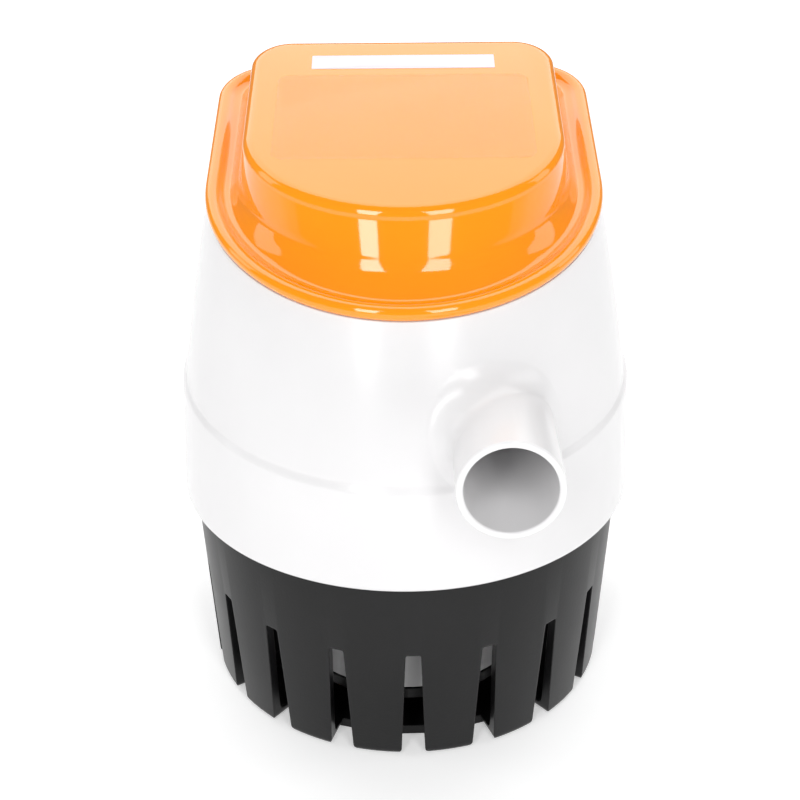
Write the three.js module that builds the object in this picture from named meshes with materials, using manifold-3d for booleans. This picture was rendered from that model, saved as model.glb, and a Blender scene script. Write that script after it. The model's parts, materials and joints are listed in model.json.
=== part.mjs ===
// Automatic submersible bilge pump: a black strainer base, a white pump body with its discharge nozzle,
// an orange cap, a brushed motor in a sealed pod, an impeller, and a float with a reed switch.
// Millimetres, +Z up. The origin is the middle of the base's underside; the nozzle points along -Y.

import * as THREE from "three";
import { mergeVertices } from "three/addons/utils/BufferGeometryUtils.js";
import Module from "manifold-3d";

const wasm = await Module();
wasm.setup();

// ---------------------------------------------------------------- driving dimensions

const gap = 0.3; // between pieces that touch or run beside each other
const wall = 2.6; // moulded walls of the body and the strainer
const overcut = 5; // how far a cutter runs past the face it cuts

// Plan outlines: elliptical front, straight sides, rear with round corners.
const strainerFoot = { halfWidth: 55.8, front: 58.4, rear: 55.4, corner: 28 };
const skirtHem = { halfWidth: 61.8, front: 65.8, rear: 62.6, corner: 33 };
const skirtDraft = { halfWidth: 1.4, front: 2.4, rear: 1, corner: 1 }; // from the hem in to the shoulder
const skirtShoulder = lessBy(skirtHem, skirtDraft);
const bodyTop = { halfWidth: 51, front: 51.6, rear: 54.4, corner: 16 };
const hemOverhang = 2.8; // of the body's hem over the strainer
const strainerTop = inset(skirtHem, hemOverhang);

const strainerHeight = 56; // up to the body's hem
const spigotHeight = 6.5; // the strainer's collar inside the hem
const collarStep = 0.6;
const footRadius = 1.6;
const slotCount = 19;
const slotPhase = THREE.MathUtils.degToRad(1.3); // of the front slot, round from the middle of the front
const slotTop = 34;
const slotFootWidth = 6.2;
const slotTopWidth = 4;
const slotReach = 9; // how far a slot runs in over the bottom plate
const plateThickness = 2.6;
const mountHoleRadius = 2.4;
const mountHoleInset = 17;
const mountPadHeight = 1.4;

const hemRadius = 1.4;
const shoulderHeight = 91; // above the origin; the shoulder slants up to the rear
const shoulderSlant = THREE.MathUtils.degToRad(6);
const shoulderStep = 1.1;
const topHeight = 138.2; // of the slanted joint above the origin
const topSlant = THREE.MathUtils.degToRad(17);
const topRimWidth = 6.4;
const bellyShare = 0.45; // of the way in to the top outline, halfway up the convex upper body
const deckHeight = 105; // underside of the deck between the wet and the dry space
const deckThickness = 3;
const deckFillet = 2.4; // the walls thicken by this much towards the deck from below
const dryFillet = 3.2; // and by this much from above

const pumpAxisY = -14; // the motor's and the impeller's vertical axis
const chamberRadius = 30;
const chamberWall = 2.5;
const chamberFoot = 13;
const nozzleRadius = 12.7;
const nozzleBore = 10.9;
const nozzleX = 23.5;
const nozzleCrown = 0.6; // how far the nozzle's wall rises into the deck
const nozzleHeight = deckHeight + nozzleCrown - nozzleRadius;
const nozzleReach = 14.5; // in front of the hem
const nozzleMouthY = -skirtHem.front - nozzleReach;
const nozzleBoreEnd = 4; // the bore stops this far in front of the pump's axis

const intakePlateThickness = 3;
const intakeEye = 12;
const lipHeight = 2.4;
const lipThickness = 2;
const bossRadius = 3.6;
const bossHeight = 14;
const bossAngles = [90, 210, 330].map(THREE.MathUtils.degToRad);
const screwRadius = 1.4;
const screwHeadRadius = 2.9;
const screwHeadHeight = 2;
const screwLength = 11;
const driveWidth = 1; // the cross recess
const driveSpan = 3.6;
const driveDepth = 1.1;

const shaftRadius = 1.6;
const shaftFoot = 18.5;
const impellerClearance = 3.5; // to the chamber's wall
const impellerRadius = chamberRadius - impellerClearance;
const impellerFoot = 17.5;
const impellerHeight = 15;
const impellerShroud = 2;
const impellerHub = 5.5;
const vaneCount = 5;
const vaneThickness = 2;

const canRadius = 18;
const canClearance = 1;
const podWall = 2.2;
const podRadius = canRadius + canClearance + podWall;
const podFoot = 40;
const podFloor = 3;
const podFlangeRadius = podRadius + 6.4;
const podFlangeThickness = 2.8;
const sealSeatRadius = 6.4;
const sealSeatWall = 2;
const sealSeatDrop = 5;
const podScrewCircle = podRadius + 3.6;

const canWall = 1;
const canFoot = 47;
const canLength = 53;
const bearingRadius = 4.5;
const bearingLength = 4.5;
const bearingHubWall = 1;
const bearingPocket = 2; // how deep the lower bearing sits under the can's floor
const magnetThickness = 3.2;
const magnetSpan = THREE.MathUtils.degToRad(138);
const magnetLength = 32;
const airGap = 0.6;
const coreLength = 24;
const coreHub = 5;
const toothCount = 5;
const toothWidth = 3.6;
const shoeThickness = 1.9;
const shoeSpan = THREE.MathUtils.degToRad(54);
const windingWidth = 7.8;
const windingMargin = 0.8;
const windingOverhang = 2.6;
const commutatorRadius = 4.8;
const commutatorLength = 8;
const commutatorSlit = 0.6;
const brushSize = 4;
const brushLength = 5.5;
const brushGuideWall = 1;
const brushGuideGap = 1.2; // between the commutator's clearance and the guide
const springWire = 0.22;
const springRadius = 1.5;
const bellFlange = 2.6;
const bellSpigot = 3;
const terminalWidth = 3;
const terminalThickness = 0.8;
const terminalHeight = 8;
const terminalX = 9;
const terminalY = pumpAxisY + 7;

const capOverhang = 0.4;
const capRim = {
  halfWidth: bodyTop.halfWidth + capOverhang,
  front: bodyTop.front / Math.cos(topSlant) + capOverhang,
  rear: bodyTop.rear / Math.cos(topSlant) + capOverhang,
  corner: bodyTop.corner,
};
const domeDraw = { halfWidth: 10.6, front: 17.5, rear: 11.5, corner: 5 }; // from the rim in
const domeTop = lessBy(capRim, domeDraw);
const capRimHeight = 3;
const capWall = 2.2;
const domeHeight = 17;
const grooveInset = 6.4; // of the groove's inner line from the rim
const domeFootHeight = 4.8; // where the apron over the groove meets the dome's wall
const domeFootSpread = 1.4; // of the wall's foot beyond the dome's top
const domeEdge = 2.4; // the rounding round the dome's top
const spigotDepth = 4;
const spigotWall = 3.2;
const sealWidth = 2;
const sealDepth = 1.5;
const sealInset = 2;

const glandX = -19;
const glandZ = topHeight + 21; // the gland's level axis
const glandFrom = bodyTop.rear - 22.4;
const glandWallY = bodyTop.rear - 20; // where the gland's neck enters the cap's boss
const bossEndY = bodyTop.rear - 7.8;
const glandBossRadius = 5;
const glandNeck = 3;
const glandFlangeRadius = 4.2;
const glandCollarRadius = 5.3;
const glandCollarThickness = 2;
const glandBootRadius = 4.3;
const glandEndRadius = 3.2;
const glandEndY = bodyTop.rear + 1.2;

const cableDiameter = 5;
const coilCentre = { x: 13.5, y: 113 };
const coilMiddleRadius = 27.5;
const coilRows = 3;
const coilLayers = 2;
const floorClearance = 0.2;
const leadRadius = 1;
const wireRadius = 0.9;

const floatPivotReach = 6.5; // behind the chamber
const floatPivot = { y: pumpAxisY + chamberRadius + chamberWall + floatPivotReach, z: 36 };
const pinRadius = 1.5;
const earHalfSpan = 11.5;
const earThickness = 3;
const earRadius = 4;
const earRootDepth = 7; // how far an ear's root lies inside the chamber's rear
const floatNearY = floatPivot.y + 8.3;
const floatRearClearance = 5.5;
const floatFarY = strainerFoot.rear - wall - floatRearClearance;
const floatSize = { x: 52, y: floatFarY - floatNearY, z: 22 };
const floatFoot = 22;
const floatRounding = 3;
const armThickness = 2.4;
const armWidth = 14;
const armPlateHeight = 16;
const armLinkThickness = 4;
const armLinkRise = 1.8; // of the link's middle above the pivot
const magnetSize = { x: 8, y: 5, z: 3 };
const wellY = floatPivot.y + 1;
const wellOutside = { x: 13, y: 8.4 };
const wellWall = 1.7;
const wellFoot = 57.5;
const reedRadius = 1.4;
const reedLength = 18;
const boardThickness = 1;
const boardWidth = 7;
const boardLength = 44;

const ringArc = 20; // steps round the elliptical front
const cornerArc = 5; // steps round each rear corner
const roundSteps = 36;
const smallSteps = 14;

// ---------------------------------------------------------------- helpers

// A closed three.js geometry as a solid that can be cut and joined.
function solid(geometry) {
  const bare = geometry.clone();
  bare.deleteAttribute("normal");
  bare.deleteAttribute("uv");
  const merged = mergeVertices(bare, 1e-4);
  return new wasm.Manifold(
    new wasm.Mesh({
      numProp: 3,
      vertProperties: merged.attributes.position.array,
      triVerts: new Uint32Array(merged.index.array),
    }),
  );
}

function geometryOf(body) {
  const mesh = body.getMesh();
  const geometry = new THREE.BufferGeometry();
  const positions = new Float32Array(mesh.vertProperties);
  geometry.setAttribute("position", new THREE.BufferAttribute(positions, 3));
  geometry.setIndex(new THREE.BufferAttribute(new Uint32Array(mesh.triVerts), 1));
  geometry.computeVertexNormals();
  return geometry;
}

function box(sizeX, sizeY, sizeZ, x, y, z) {
  return solid(new THREE.BoxGeometry(sizeX, sizeY, sizeZ).translate(x, y, z));
}

// A round bar along Z, from one height to another.
function post(radius, from, to, x = 0, y = 0, steps = roundSteps) {
  const bar = new THREE.CylinderGeometry(radius, radius, to - from, steps);
  return solid(bar.rotateX(Math.PI / 2).translate(x, y, (from + to) / 2));
}

// A round bar along Y.
function bar(radius, from, to, x, z, steps = roundSteps) {
  const rod = new THREE.CylinderGeometry(radius, radius, to - from, steps);
  return solid(rod.translate(x, (from + to) / 2, z));
}

function tube(radius, bore, from, to, x = 0, y = 0, steps = roundSteps) {
  return post(radius, from, to, x, y, steps).subtract(post(bore, from - 1, to + 1, x, y, steps));
}

// The points of a plan outline, anticlockwise from the right side.
function planPoints({ halfWidth, front, rear, corner }) {
  const points = [new THREE.Vector2(halfWidth, 0)];
  const addCorner = (centreX, centreY, startAngle) => {
    for (let i = 0; i <= cornerArc; i++) {
      const angle = startAngle + (Math.PI / 2) * (i / cornerArc);
      points.push(
        new THREE.Vector2(centreX + corner * Math.cos(angle), centreY + corner * Math.sin(angle)),
      );
    }
  };
  addCorner(halfWidth - corner, rear - corner, 0);
  addCorner(corner - halfWidth, rear - corner, Math.PI / 2);
  for (let i = 0; i < ringArc; i++) {
    const angle = Math.PI + Math.PI * (i / ringArc);
    points.push(new THREE.Vector2(halfWidth * Math.cos(angle), front * Math.sin(angle)));
  }
  return points;
}

// An outline moved in by the same amount all round.
function inset(plan, amount) {
  return {
    halfWidth: plan.halfWidth - amount,
    front: plan.front - amount,
    rear: plan.rear - amount,
    corner: Math.max(plan.corner - amount, 1),
  };
}

// An outline whose sizes are each smaller by an amount of their own.
function lessBy(plan, amounts) {
  const smaller = {};
  for (const key of Object.keys(plan)) smaller[key] = plan[key] - amounts[key];
  return smaller;
}

function mix(a, b, t) {
  const between = {};
  for (const key of Object.keys(a)) between[key] = a[key] + (b[key] - a[key]) * t;
  return between;
}

// A closed skin through outlines at rising heights: each level is { plan, z, slant }.
function loft(levels) {
  const rings = levels.map(({ plan, z, slant = 0 }) =>
    planPoints(plan).map((p) => [p.x, p.y, z + Math.tan(slant) * p.y]),
  );
  const count = rings[0].length;
  const positions = rings.flat();
  const faces = [];
  for (let level = 0; level + 1 < rings.length; level++) {
    for (let i = 0; i < count; i++) {
      const a = level * count + i;
      const b = level * count + ((i + 1) % count);
      faces.push(a, b, b + count, a, b + count, a + count);
    }
  }
  const lastRing = (rings.length - 1) * count;
  const outline = rings[0].map(([x, y]) => new THREE.Vector2(x, y));
  for (const [a, b, c] of THREE.ShapeUtils.triangulateShape(outline, [])) faces.push(a, c, b);
  const topOutline = rings.at(-1).map(([x, y]) => new THREE.Vector2(x, y));
  for (const [a, b, c] of THREE.ShapeUtils.triangulateShape(topOutline, [])) {
    faces.push(lastRing + a, lastRing + b, lastRing + c);
  }
  const geometry = new THREE.BufferGeometry();
  geometry.setAttribute("position", new THREE.Float32BufferAttribute(positions.flat(), 3));
  geometry.setIndex(faces);
  return solid(geometry);
}

// Copies turned about the pump's axis.
function aroundAxis(body, angle) {
  const turned = geometryOf(body);
  turned.translate(0, -pumpAxisY, 0).rotateZ(angle).translate(0, pumpAxisY, 0);
  return solid(turned);
}

function onCircle(radius, angle) {
  return [radius * Math.cos(angle), pumpAxisY + radius * Math.sin(angle)];
}

// A round rod along a curve, closed at both ends.
function swept(points, radius, sides, steps) {
  const section = new THREE.Shape();
  section.absarc(0, 0, radius, 0, 2 * Math.PI);
  const path = new THREE.CatmullRomCurve3(points, false, "centripetal");
  return new THREE.ExtrudeGeometry(section, {
    extrudePath: path,
    steps,
    curveSegments: sides / 2,
    bevelEnabled: false,
  });
}

const materials = {
  blackPlastic: { color: 0x1d1d1e, roughness: 0.42, metalness: 0 },
  whitePlastic: { color: 0xe9e8e8, roughness: 0.28, metalness: 0 },
  orangePlastic: { color: 0xff8a12, roughness: 0.14, metalness: 0 },
  greyPlastic: { color: 0xc9cacb, roughness: 0.4, metalness: 0 },
  bluePlastic: { color: 0x27548f, roughness: 0.45, metalness: 0 },
  rubber: { color: 0x161616, roughness: 0.75, metalness: 0 },
  cableJacket: { color: 0x2c2624, roughness: 0.6, metalness: 0 },
  steel: { color: 0xa9abad, roughness: 0.35, metalness: 1 },
  laminations: { color: 0x6d6f72, roughness: 0.5, metalness: 1 },
  copper: { color: 0xb4622f, roughness: 0.35, metalness: 1 },
  brass: { color: 0xb88f45, roughness: 0.35, metalness: 1 },
  bronze: { color: 0x8a6a42, roughness: 0.5, metalness: 1 },
  carbon: { color: 0x242424, roughness: 0.7, metalness: 0 },
  ferrite: { color: 0x3a3a3d, roughness: 0.7, metalness: 0 },
  glass: { color: 0xbfd8cf, roughness: 0.1, metalness: 0 },
  board: { color: 0x2e6b3f, roughness: 0.6, metalness: 0 },
  foam: { color: 0xe4d9b8, roughness: 0.85, metalness: 0 },
  brownWire: { color: 0x6b3a1f, roughness: 0.5, metalness: 0 },
  whiteWire: { color: 0xd9cdbb, roughness: 0.5, metalness: 0 },
  blackWire: { color: 0x1a1a1a, roughness: 0.5, metalness: 0 },
};

const pump = new THREE.Group();
const slanted = new THREE.Group(); // the cap and what lies in the slanted joint
slanted.position.z = topHeight;
slanted.rotation.x = topSlant;
pump.add(slanted);

function addMesh(parent, name, shape, material) {
  const geometry = shape.isBufferGeometry ? shape : geometryOf(shape);
  const mesh = new THREE.Mesh(geometry, new THREE.MeshStandardMaterial(materials[material]));
  mesh.name = name;
  parent.add(mesh);
}

// ---------------------------------------------------------------- strainer base

// Where a ray from the middle meets an outline, and the direction round it there.
function station(plan, angle) {
  const ray = new THREE.Vector2(Math.cos(angle), Math.sin(angle));
  const points = planPoints(plan);
  const next = points.findIndex(
    (point, i) => ray.cross(points.at(i - 1)) <= 0 && ray.cross(point) > 0 && ray.dot(point) > 0,
  );
  const from = ray.cross(points.at(next - 1));
  const t = from / (from - ray.cross(points[next]));
  return { at: points.at(next - 1).clone().lerp(points[next], t), along: new THREE.Vector2(-ray.y, ray.x) };
}

function slotCutter({ at, along }) {
  const shape = new THREE.Shape();
  shape.moveTo(-slotFootWidth / 2, -overcut);
  shape.lineTo(slotFootWidth / 2, -overcut);
  shape.lineTo(slotTopWidth / 2, slotTop);
  shape.lineTo(-slotTopWidth / 2, slotTop);
  const depth = slotReach + 2 * overcut;
  const cutter = new THREE.ExtrudeGeometry(shape, { depth, bevelEnabled: false });
  cutter.rotateX(Math.PI / 2).translate(0, depth - 2 * overcut, 0);
  return solid(cutter.rotateZ(Math.atan2(along.y, along.x)).translate(at.x, at.y, 0));
}

function strainerLevels(amount) {
  const collar = inset(strainerTop, collarStep);
  return [
    { plan: inset(strainerFoot, amount + footRadius * 0.7), z: 0 },
    { plan: inset(strainerFoot, amount), z: footRadius },
    { plan: inset(strainerTop, amount), z: strainerHeight },
    { plan: inset(collar, amount), z: strainerHeight + gap },
    { plan: inset(collar, amount), z: strainerHeight + spigotHeight },
  ];
}

const mountHoles = [90, 210, 330].map((degrees) => {
  const angle = THREE.MathUtils.degToRad(degrees);
  const reach = Math.min(strainerFoot.halfWidth, strainerFoot.rear) - mountHoleInset;
  return [reach * Math.cos(angle), reach * Math.sin(angle)];
});

function strainerBase() {
  const inside = strainerLevels(wall);
  inside[0].z = plateThickness;
  inside[1].z = plateThickness + footRadius;
  inside.at(-1).z += overcut;
  let base = loft(strainerLevels(0)).subtract(loft(inside));
  for (let i = 0; i < slotCount; i++) {
    const angle = slotPhase - Math.PI / 2 + (2 * Math.PI * i) / slotCount;
    base = base.subtract(slotCutter(station(strainerFoot, angle)));
  }
  for (const [x, y] of mountHoles) {
    const padTop = plateThickness + mountPadHeight;
    base = base.add(post(mountHoleRadius + wall, plateThickness / 2, padTop, x, y, smallSteps));
    base = base.subtract(post(mountHoleRadius, -overcut, padTop + overcut, x, y, smallSteps));
  }
  return base;
}

addMesh(pump, "strainer_base", strainerBase(), "blackPlastic");

// ---------------------------------------------------------------- pump body

const upperShoulder = inset(skirtShoulder, shoulderStep);

function bodyLevels() {
  return [
    { plan: inset(skirtHem, hemRadius * 0.5), z: strainerHeight },
    { plan: skirtHem, z: strainerHeight + hemRadius },
    { plan: skirtShoulder, z: shoulderHeight - shoulderStep, slant: shoulderSlant },
    {
      plan: inset(skirtShoulder, shoulderStep * 0.3),
      z: shoulderHeight - shoulderStep * 0.3,
      slant: shoulderSlant,
    },
    { plan: upperShoulder, z: shoulderHeight, slant: shoulderSlant },
    {
      plan: mix(upperShoulder, bodyTop, bellyShare),
      z: THREE.MathUtils.lerp(shoulderHeight, topHeight, 0.5),
      slant: (shoulderSlant + topSlant) / 2,
    },
    { plan: bodyTop, z: topHeight - gap / Math.cos(topSlant), slant: topSlant },
  ];
}

// The body's outline at a height where it isn't slanted yet, or a little above that.
function bodyPlanAt(z) {
  const share = (z - shoulderHeight) / (topHeight - shoulderHeight);
  return mix(upperShoulder, bodyTop, THREE.MathUtils.clamp(share, 0, 1));
}

function wetSpace() {
  return loft([
    { plan: inset(skirtHem, wall), z: strainerHeight - overcut },
    { plan: inset(skirtHem, wall), z: strainerHeight + hemRadius },
    { plan: inset(upperShoulder, wall), z: deckHeight - (deckHeight - strainerHeight) / 2 },
    { plan: inset(bodyPlanAt(deckHeight), wall + deckFillet), z: deckHeight },
  ]);
}

function drySpace() {
  const deckTop = deckHeight + deckThickness;
  const shelf = topRimWidth / Math.cos(topSlant);
  return loft([
    { plan: inset(bodyPlanAt(deckTop), wall + dryFillet), z: deckTop },
    { plan: inset(bodyPlanAt(deckTop), wall + dryFillet), z: deckTop + 0.1 },
    { plan: inset(bodyTop, wall + dryFillet / 5), z: topHeight - 2 * shelf, slant: topSlant },
    { plan: inset(bodyTop, topRimWidth), z: topHeight - shelf, slant: topSlant },
    { plan: inset(bodyTop, topRimWidth), z: topHeight + overcut, slant: topSlant },
  ]);
}

function sealGroove() {
  const ring = (amount, foot) =>
    loft([
      { plan: inset(bodyTop, amount), z: foot, slant: topSlant },
      { plan: inset(bodyTop, amount), z: topHeight + overcut, slant: topSlant },
    ]);
  const floor = topHeight - sealDepth - gap;
  return ring(sealInset, floor).subtract(ring(sealInset + sealWidth + 2 * gap, floor - 1));
}

function pivotEar(side) {
  const rootY = pumpAxisY + chamberRadius + chamberWall - earRootDepth;
  const length = floatPivot.y - rootY;
  const middleY = rootY + length / 2;
  const arm = box(earThickness, length, 2 * earRadius, side * earHalfSpan, middleY, floatPivot.z);
  const eye = new THREE.CylinderGeometry(earRadius, earRadius, earThickness, smallSteps);
  eye.rotateZ(Math.PI / 2).translate(side * earHalfSpan, floatPivot.y, floatPivot.z);
  return arm.add(solid(eye));
}

function pinBar(radius, halfLength) {
  const pin = new THREE.CylinderGeometry(radius, radius, 2 * halfLength, smallSteps);
  return solid(pin.rotateZ(Math.PI / 2).translate(0, floatPivot.y, floatPivot.z));
}

function reedWell(amount, foot, top) {
  const height = top - foot;
  const sizeX = wellOutside.x - 2 * amount;
  const sizeY = wellOutside.y - 2 * amount;
  return box(sizeX, sizeY, height, 0, wellY, foot + height / 2);
}

function dischargeBore() {
  return bar(nozzleBore, nozzleMouthY - overcut, pumpAxisY - nozzleBoreEnd, nozzleX, nozzleHeight);
}

// The shell with its deck, the reed switch's well, and the nozzle and its duct up to the impeller's housing.
function pumpBody() {
  const deckTop = deckHeight + deckThickness;
  const housingRadius = chamberRadius + chamberWall + gap;
  let body = loft(bodyLevels()).subtract(wetSpace()).subtract(drySpace()).subtract(sealGroove());
  body = body.add(bar(nozzleRadius, nozzleMouthY, pumpAxisY, nozzleX, nozzleHeight));
  body = body.add(reedWell(0, wellFoot, deckHeight + 1));
  body = body.subtract(post(housingRadius, chamberFoot - overcut, deckHeight, 0, pumpAxisY));
  body = body.subtract(dischargeBore());
  body = body.subtract(post(podRadius + gap, deckHeight - overcut, deckTop + overcut, 0, pumpAxisY));
  body = body.subtract(reedWell(wellWall, wellFoot + wellWall, deckTop + overcut));
  for (const angle of bossAngles) {
    const [x, y] = onCircle(podScrewCircle, angle + Math.PI / 3);
    const hole = post(screwRadius + gap, deckHeight - overcut, deckTop + overcut, x, y, smallSteps);
    body = body.subtract(hole);
  }
  return body;
}

addMesh(pump, "pump_body", pumpBody(), "whitePlastic");

// ---------------------------------------------------------------- impeller housing

const bossCircle = chamberRadius + chamberWall + bossRadius - 1;

// The round wall that hangs under the deck, with the intake plate's bosses and the float's pivot ears.
function impellerHousing() {
  const top = deckHeight - gap;
  let housing = post(chamberRadius + chamberWall, chamberFoot, top, 0, pumpAxisY);
  for (const angle of bossAngles) {
    const [x, y] = onCircle(bossCircle, angle);
    housing = housing.add(post(bossRadius, chamberFoot, chamberFoot + bossHeight, x, y, smallSteps));
  }
  for (const side of [-1, 1]) housing = housing.add(pivotEar(side));
  housing = housing.subtract(post(chamberRadius, chamberFoot - overcut, top + overcut, 0, pumpAxisY));
  housing = housing.subtract(dischargeBore());
  housing = housing.subtract(pinBar(pinRadius + gap, earHalfSpan + earThickness));
  for (const angle of bossAngles) {
    const [x, y] = onCircle(bossCircle, angle);
    const holeTop = chamberFoot + screwLength - intakePlateThickness;
    housing = housing.subtract(post(screwRadius + gap, chamberFoot - overcut, holeTop, x, y, smallSteps));
  }
  return housing;
}

addMesh(pump, "impeller_housing", impellerHousing(), "whitePlastic");

// ---------------------------------------------------------------- intake plate and impeller

function intakePlate() {
  const top = chamberFoot - gap;
  const foot = top - intakePlateThickness;
  let plate = post(chamberRadius + chamberWall, foot, top, 0, pumpAxisY);
  const lipOutside = chamberRadius - gap;
  plate = plate.add(post(lipOutside, top - 1, top + lipHeight, 0, pumpAxisY));
  plate = plate.subtract(post(lipOutside - lipThickness, top, top + overcut, 0, pumpAxisY));
  for (const angle of bossAngles) {
    const [x, y] = onCircle(bossCircle, angle);
    plate = plate.add(post(bossRadius, foot, top, x, y, smallSteps));
    plate = plate.subtract(post(screwRadius + gap, foot - overcut, top + overcut, x, y, smallSteps));
  }
  return plate.subtract(post(intakeEye, foot - overcut, top + overcut, 0, pumpAxisY));
}

// A round-headed screw whose head rests below or above the piece that it clamps.
function screw(x, y, headFace, direction) {
  const headEnd = headFace - direction * screwHeadHeight;
  const tip = headFace + direction * screwLength;
  const low = Math.min(headEnd, headFace);
  const high = Math.max(headEnd, headFace);
  const head = post(screwHeadRadius, low, high, x, y, smallSteps);
  const root = headFace - direction * (screwHeadHeight / 3);
  const shank = post(screwRadius, Math.min(root, tip), Math.max(root, tip), x, y, smallSteps);
  const slot = box(driveSpan, driveWidth, 2 * driveDepth, x, y, headEnd);
  const crossSlot = box(driveWidth, driveSpan, 2 * driveDepth, x, y, headEnd);
  return head.add(shank).subtract(slot).subtract(crossSlot);
}

addMesh(pump, "intake_plate", intakePlate(), "blackPlastic");
bossAngles.forEach((angle, index) => {
  const [x, y] = onCircle(bossCircle, angle);
  const headFace = chamberFoot - gap - intakePlateThickness - gap;
  addMesh(pump, `intake_screw_${index + 1}`, screw(x, y, headFace, 1), "steel");
});

// A blade that leaves the hub straight and curves round, in shares of its reach.
function vane() {
  const reach = impellerRadius - 1;
  const shape = new THREE.Shape();
  shape.moveTo(impellerHub - 1, 0);
  shape.quadraticCurveTo(reach * 0.55, reach * 0.05, reach * 0.86, reach * 0.46);
  shape.lineTo(reach * 0.86 - vaneThickness, reach * 0.46 + vaneThickness * 0.6);
  const innerBend = reach * 0.05 + vaneThickness * 1.2;
  shape.quadraticCurveTo(reach * 0.5, innerBend, impellerHub - 1, vaneThickness);
  const height = impellerHeight - impellerShroud / 2;
  const blade = new THREE.ExtrudeGeometry(shape, { depth: height, curveSegments: 6, bevelEnabled: false });
  return solid(blade.translate(0, pumpAxisY, impellerFoot));
}

function impeller() {
  const top = impellerFoot + impellerHeight;
  let wheel = post(impellerRadius, top - impellerShroud, top, 0, pumpAxisY);
  wheel = wheel.add(post(impellerHub, impellerFoot - 1, top + 1, 0, pumpAxisY, smallSteps));
  for (let i = 0; i < vaneCount; i++) {
    wheel = wheel.add(aroundAxis(vane(), (2 * Math.PI * i) / vaneCount));
  }
  const shaftHole = post(shaftRadius + gap, shaftFoot - gap, top + overcut, 0, pumpAxisY, smallSteps);
  return wheel.subtract(shaftHole);
}

addMesh(pump, "impeller", impeller(), "bluePlastic");

// ---------------------------------------------------------------- sealed motor pod

const podFlangeFoot = deckHeight + deckThickness + gap;
const podTop = podFlangeFoot + podFlangeThickness;

function motorPod() {
  const seatFoot = podFoot - sealSeatDrop;
  const floorTop = podFoot + podFloor;
  let pod = post(podRadius, podFoot, podTop, 0, pumpAxisY);
  pod = pod.add(post(podFlangeRadius, podFlangeFoot, podTop, 0, pumpAxisY));
  pod = pod.add(post(sealSeatRadius + sealSeatWall, seatFoot, podFoot + 1, 0, pumpAxisY));
  pod = pod.subtract(post(podRadius - podWall, floorTop, podTop + overcut, 0, pumpAxisY));
  pod = pod.subtract(post(sealSeatRadius, seatFoot - overcut, podFoot, 0, pumpAxisY));
  pod = pod.subtract(post(shaftRadius + 1, seatFoot, floorTop + 1, 0, pumpAxisY, smallSteps));
  for (const angle of bossAngles) {
    const [x, y] = onCircle(podScrewCircle, angle + Math.PI / 3);
    pod = pod.subtract(post(screwRadius + gap, podFlangeFoot - 1, podTop + 1, x, y, smallSteps));
  }
  return pod;
}

addMesh(pump, "motor_pod", motorPod(), "greyPlastic");
bossAngles.forEach((angle, index) => {
  const [x, y] = onCircle(podScrewCircle, angle + Math.PI / 3);
  addMesh(pump, `pod_screw_${index + 1}`, screw(x, y, podTop + gap, -1), "steel");
});

// A ring with an angled lip at each end and a grease space between the lips.
function shaftSeal() {
  const foot = podFoot - sealSeatDrop + gap;
  const top = podFoot - gap;
  const outside = sealSeatRadius - gap;
  const lip = shaftRadius + gap;
  const space = shaftRadius + 2;
  const lipSize = 1;
  const profile = [
    [lip, foot + lipSize],
    [space, foot],
    [outside, foot],
    [outside, top],
    [lip, top],
    [lip, top - lipSize],
    [space, top - 1.7 * lipSize],
    [space, foot + 1.8 * lipSize],
    [lip, foot + lipSize],
  ];
  const lathe = new THREE.LatheGeometry(profile.map(([r, z]) => new THREE.Vector2(r, z)), 20);
  return solid(lathe.rotateX(Math.PI / 2).translate(0, pumpAxisY, 0));
}

addMesh(pump, "shaft_seal", shaftSeal(), "rubber");

// ---------------------------------------------------------------- motor

const canTop = canFoot + canLength;
const coreMiddle = canFoot + canLength / 2 - 2;
const coreFoot = coreMiddle - coreLength / 2;
const coreTop = coreMiddle + coreLength / 2;
const coreRadius = canRadius - canWall - gap - magnetThickness - airGap;
const windingDepth = coreRadius - shoeThickness - coreHub - 2 * windingMargin;
const hubOutside = bearingRadius + gap + bearingHubWall;

function motorCan() {
  let can = post(canRadius, canFoot, canTop, 0, pumpAxisY);
  can = can.subtract(post(canRadius - canWall, canFoot + canWall, canTop + overcut, 0, pumpAxisY));
  const pocketFoot = canFoot - bearingPocket;
  can = can.add(post(hubOutside, pocketFoot - canWall, canFoot + canWall, 0, pumpAxisY));
  can = can.subtract(post(hubOutside - bearingHubWall, pocketFoot, canFoot + overcut, 0, pumpAxisY));
  return can.subtract(post(shaftRadius + 1, canFoot - overcut, canFoot, 0, pumpAxisY, smallSteps));
}

function arcPiece(inner, outer, span, from, to) {
  const shape = new THREE.Shape();
  shape.absarc(0, 0, outer, -span / 2, span / 2, false);
  shape.absarc(0, 0, inner, span / 2, -span / 2, true);
  const depth = to - from;
  const piece = new THREE.ExtrudeGeometry(shape, { depth, curveSegments: 6, bevelEnabled: false });
  return solid(piece.translate(0, pumpAxisY, from));
}

function armatureCore() {
  let core = post(coreHub, coreFoot, coreTop, 0, pumpAxisY);
  for (let i = 0; i < toothCount; i++) {
    const stemLength = coreRadius - coreHub + 1;
    const stemX = (coreRadius + coreHub) / 2 - 1;
    const stem = box(stemLength, toothWidth, coreLength, stemX, pumpAxisY, coreMiddle);
    const shoe = arcPiece(coreRadius - shoeThickness, coreRadius, shoeSpan, coreFoot, coreTop);
    core = core.add(aroundAxis(stem.add(shoe), (2 * Math.PI * i) / toothCount));
  }
  return core.subtract(post(shaftRadius + gap, coreFoot - 1, coreTop + 1, 0, pumpAxisY, smallSteps));
}

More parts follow.
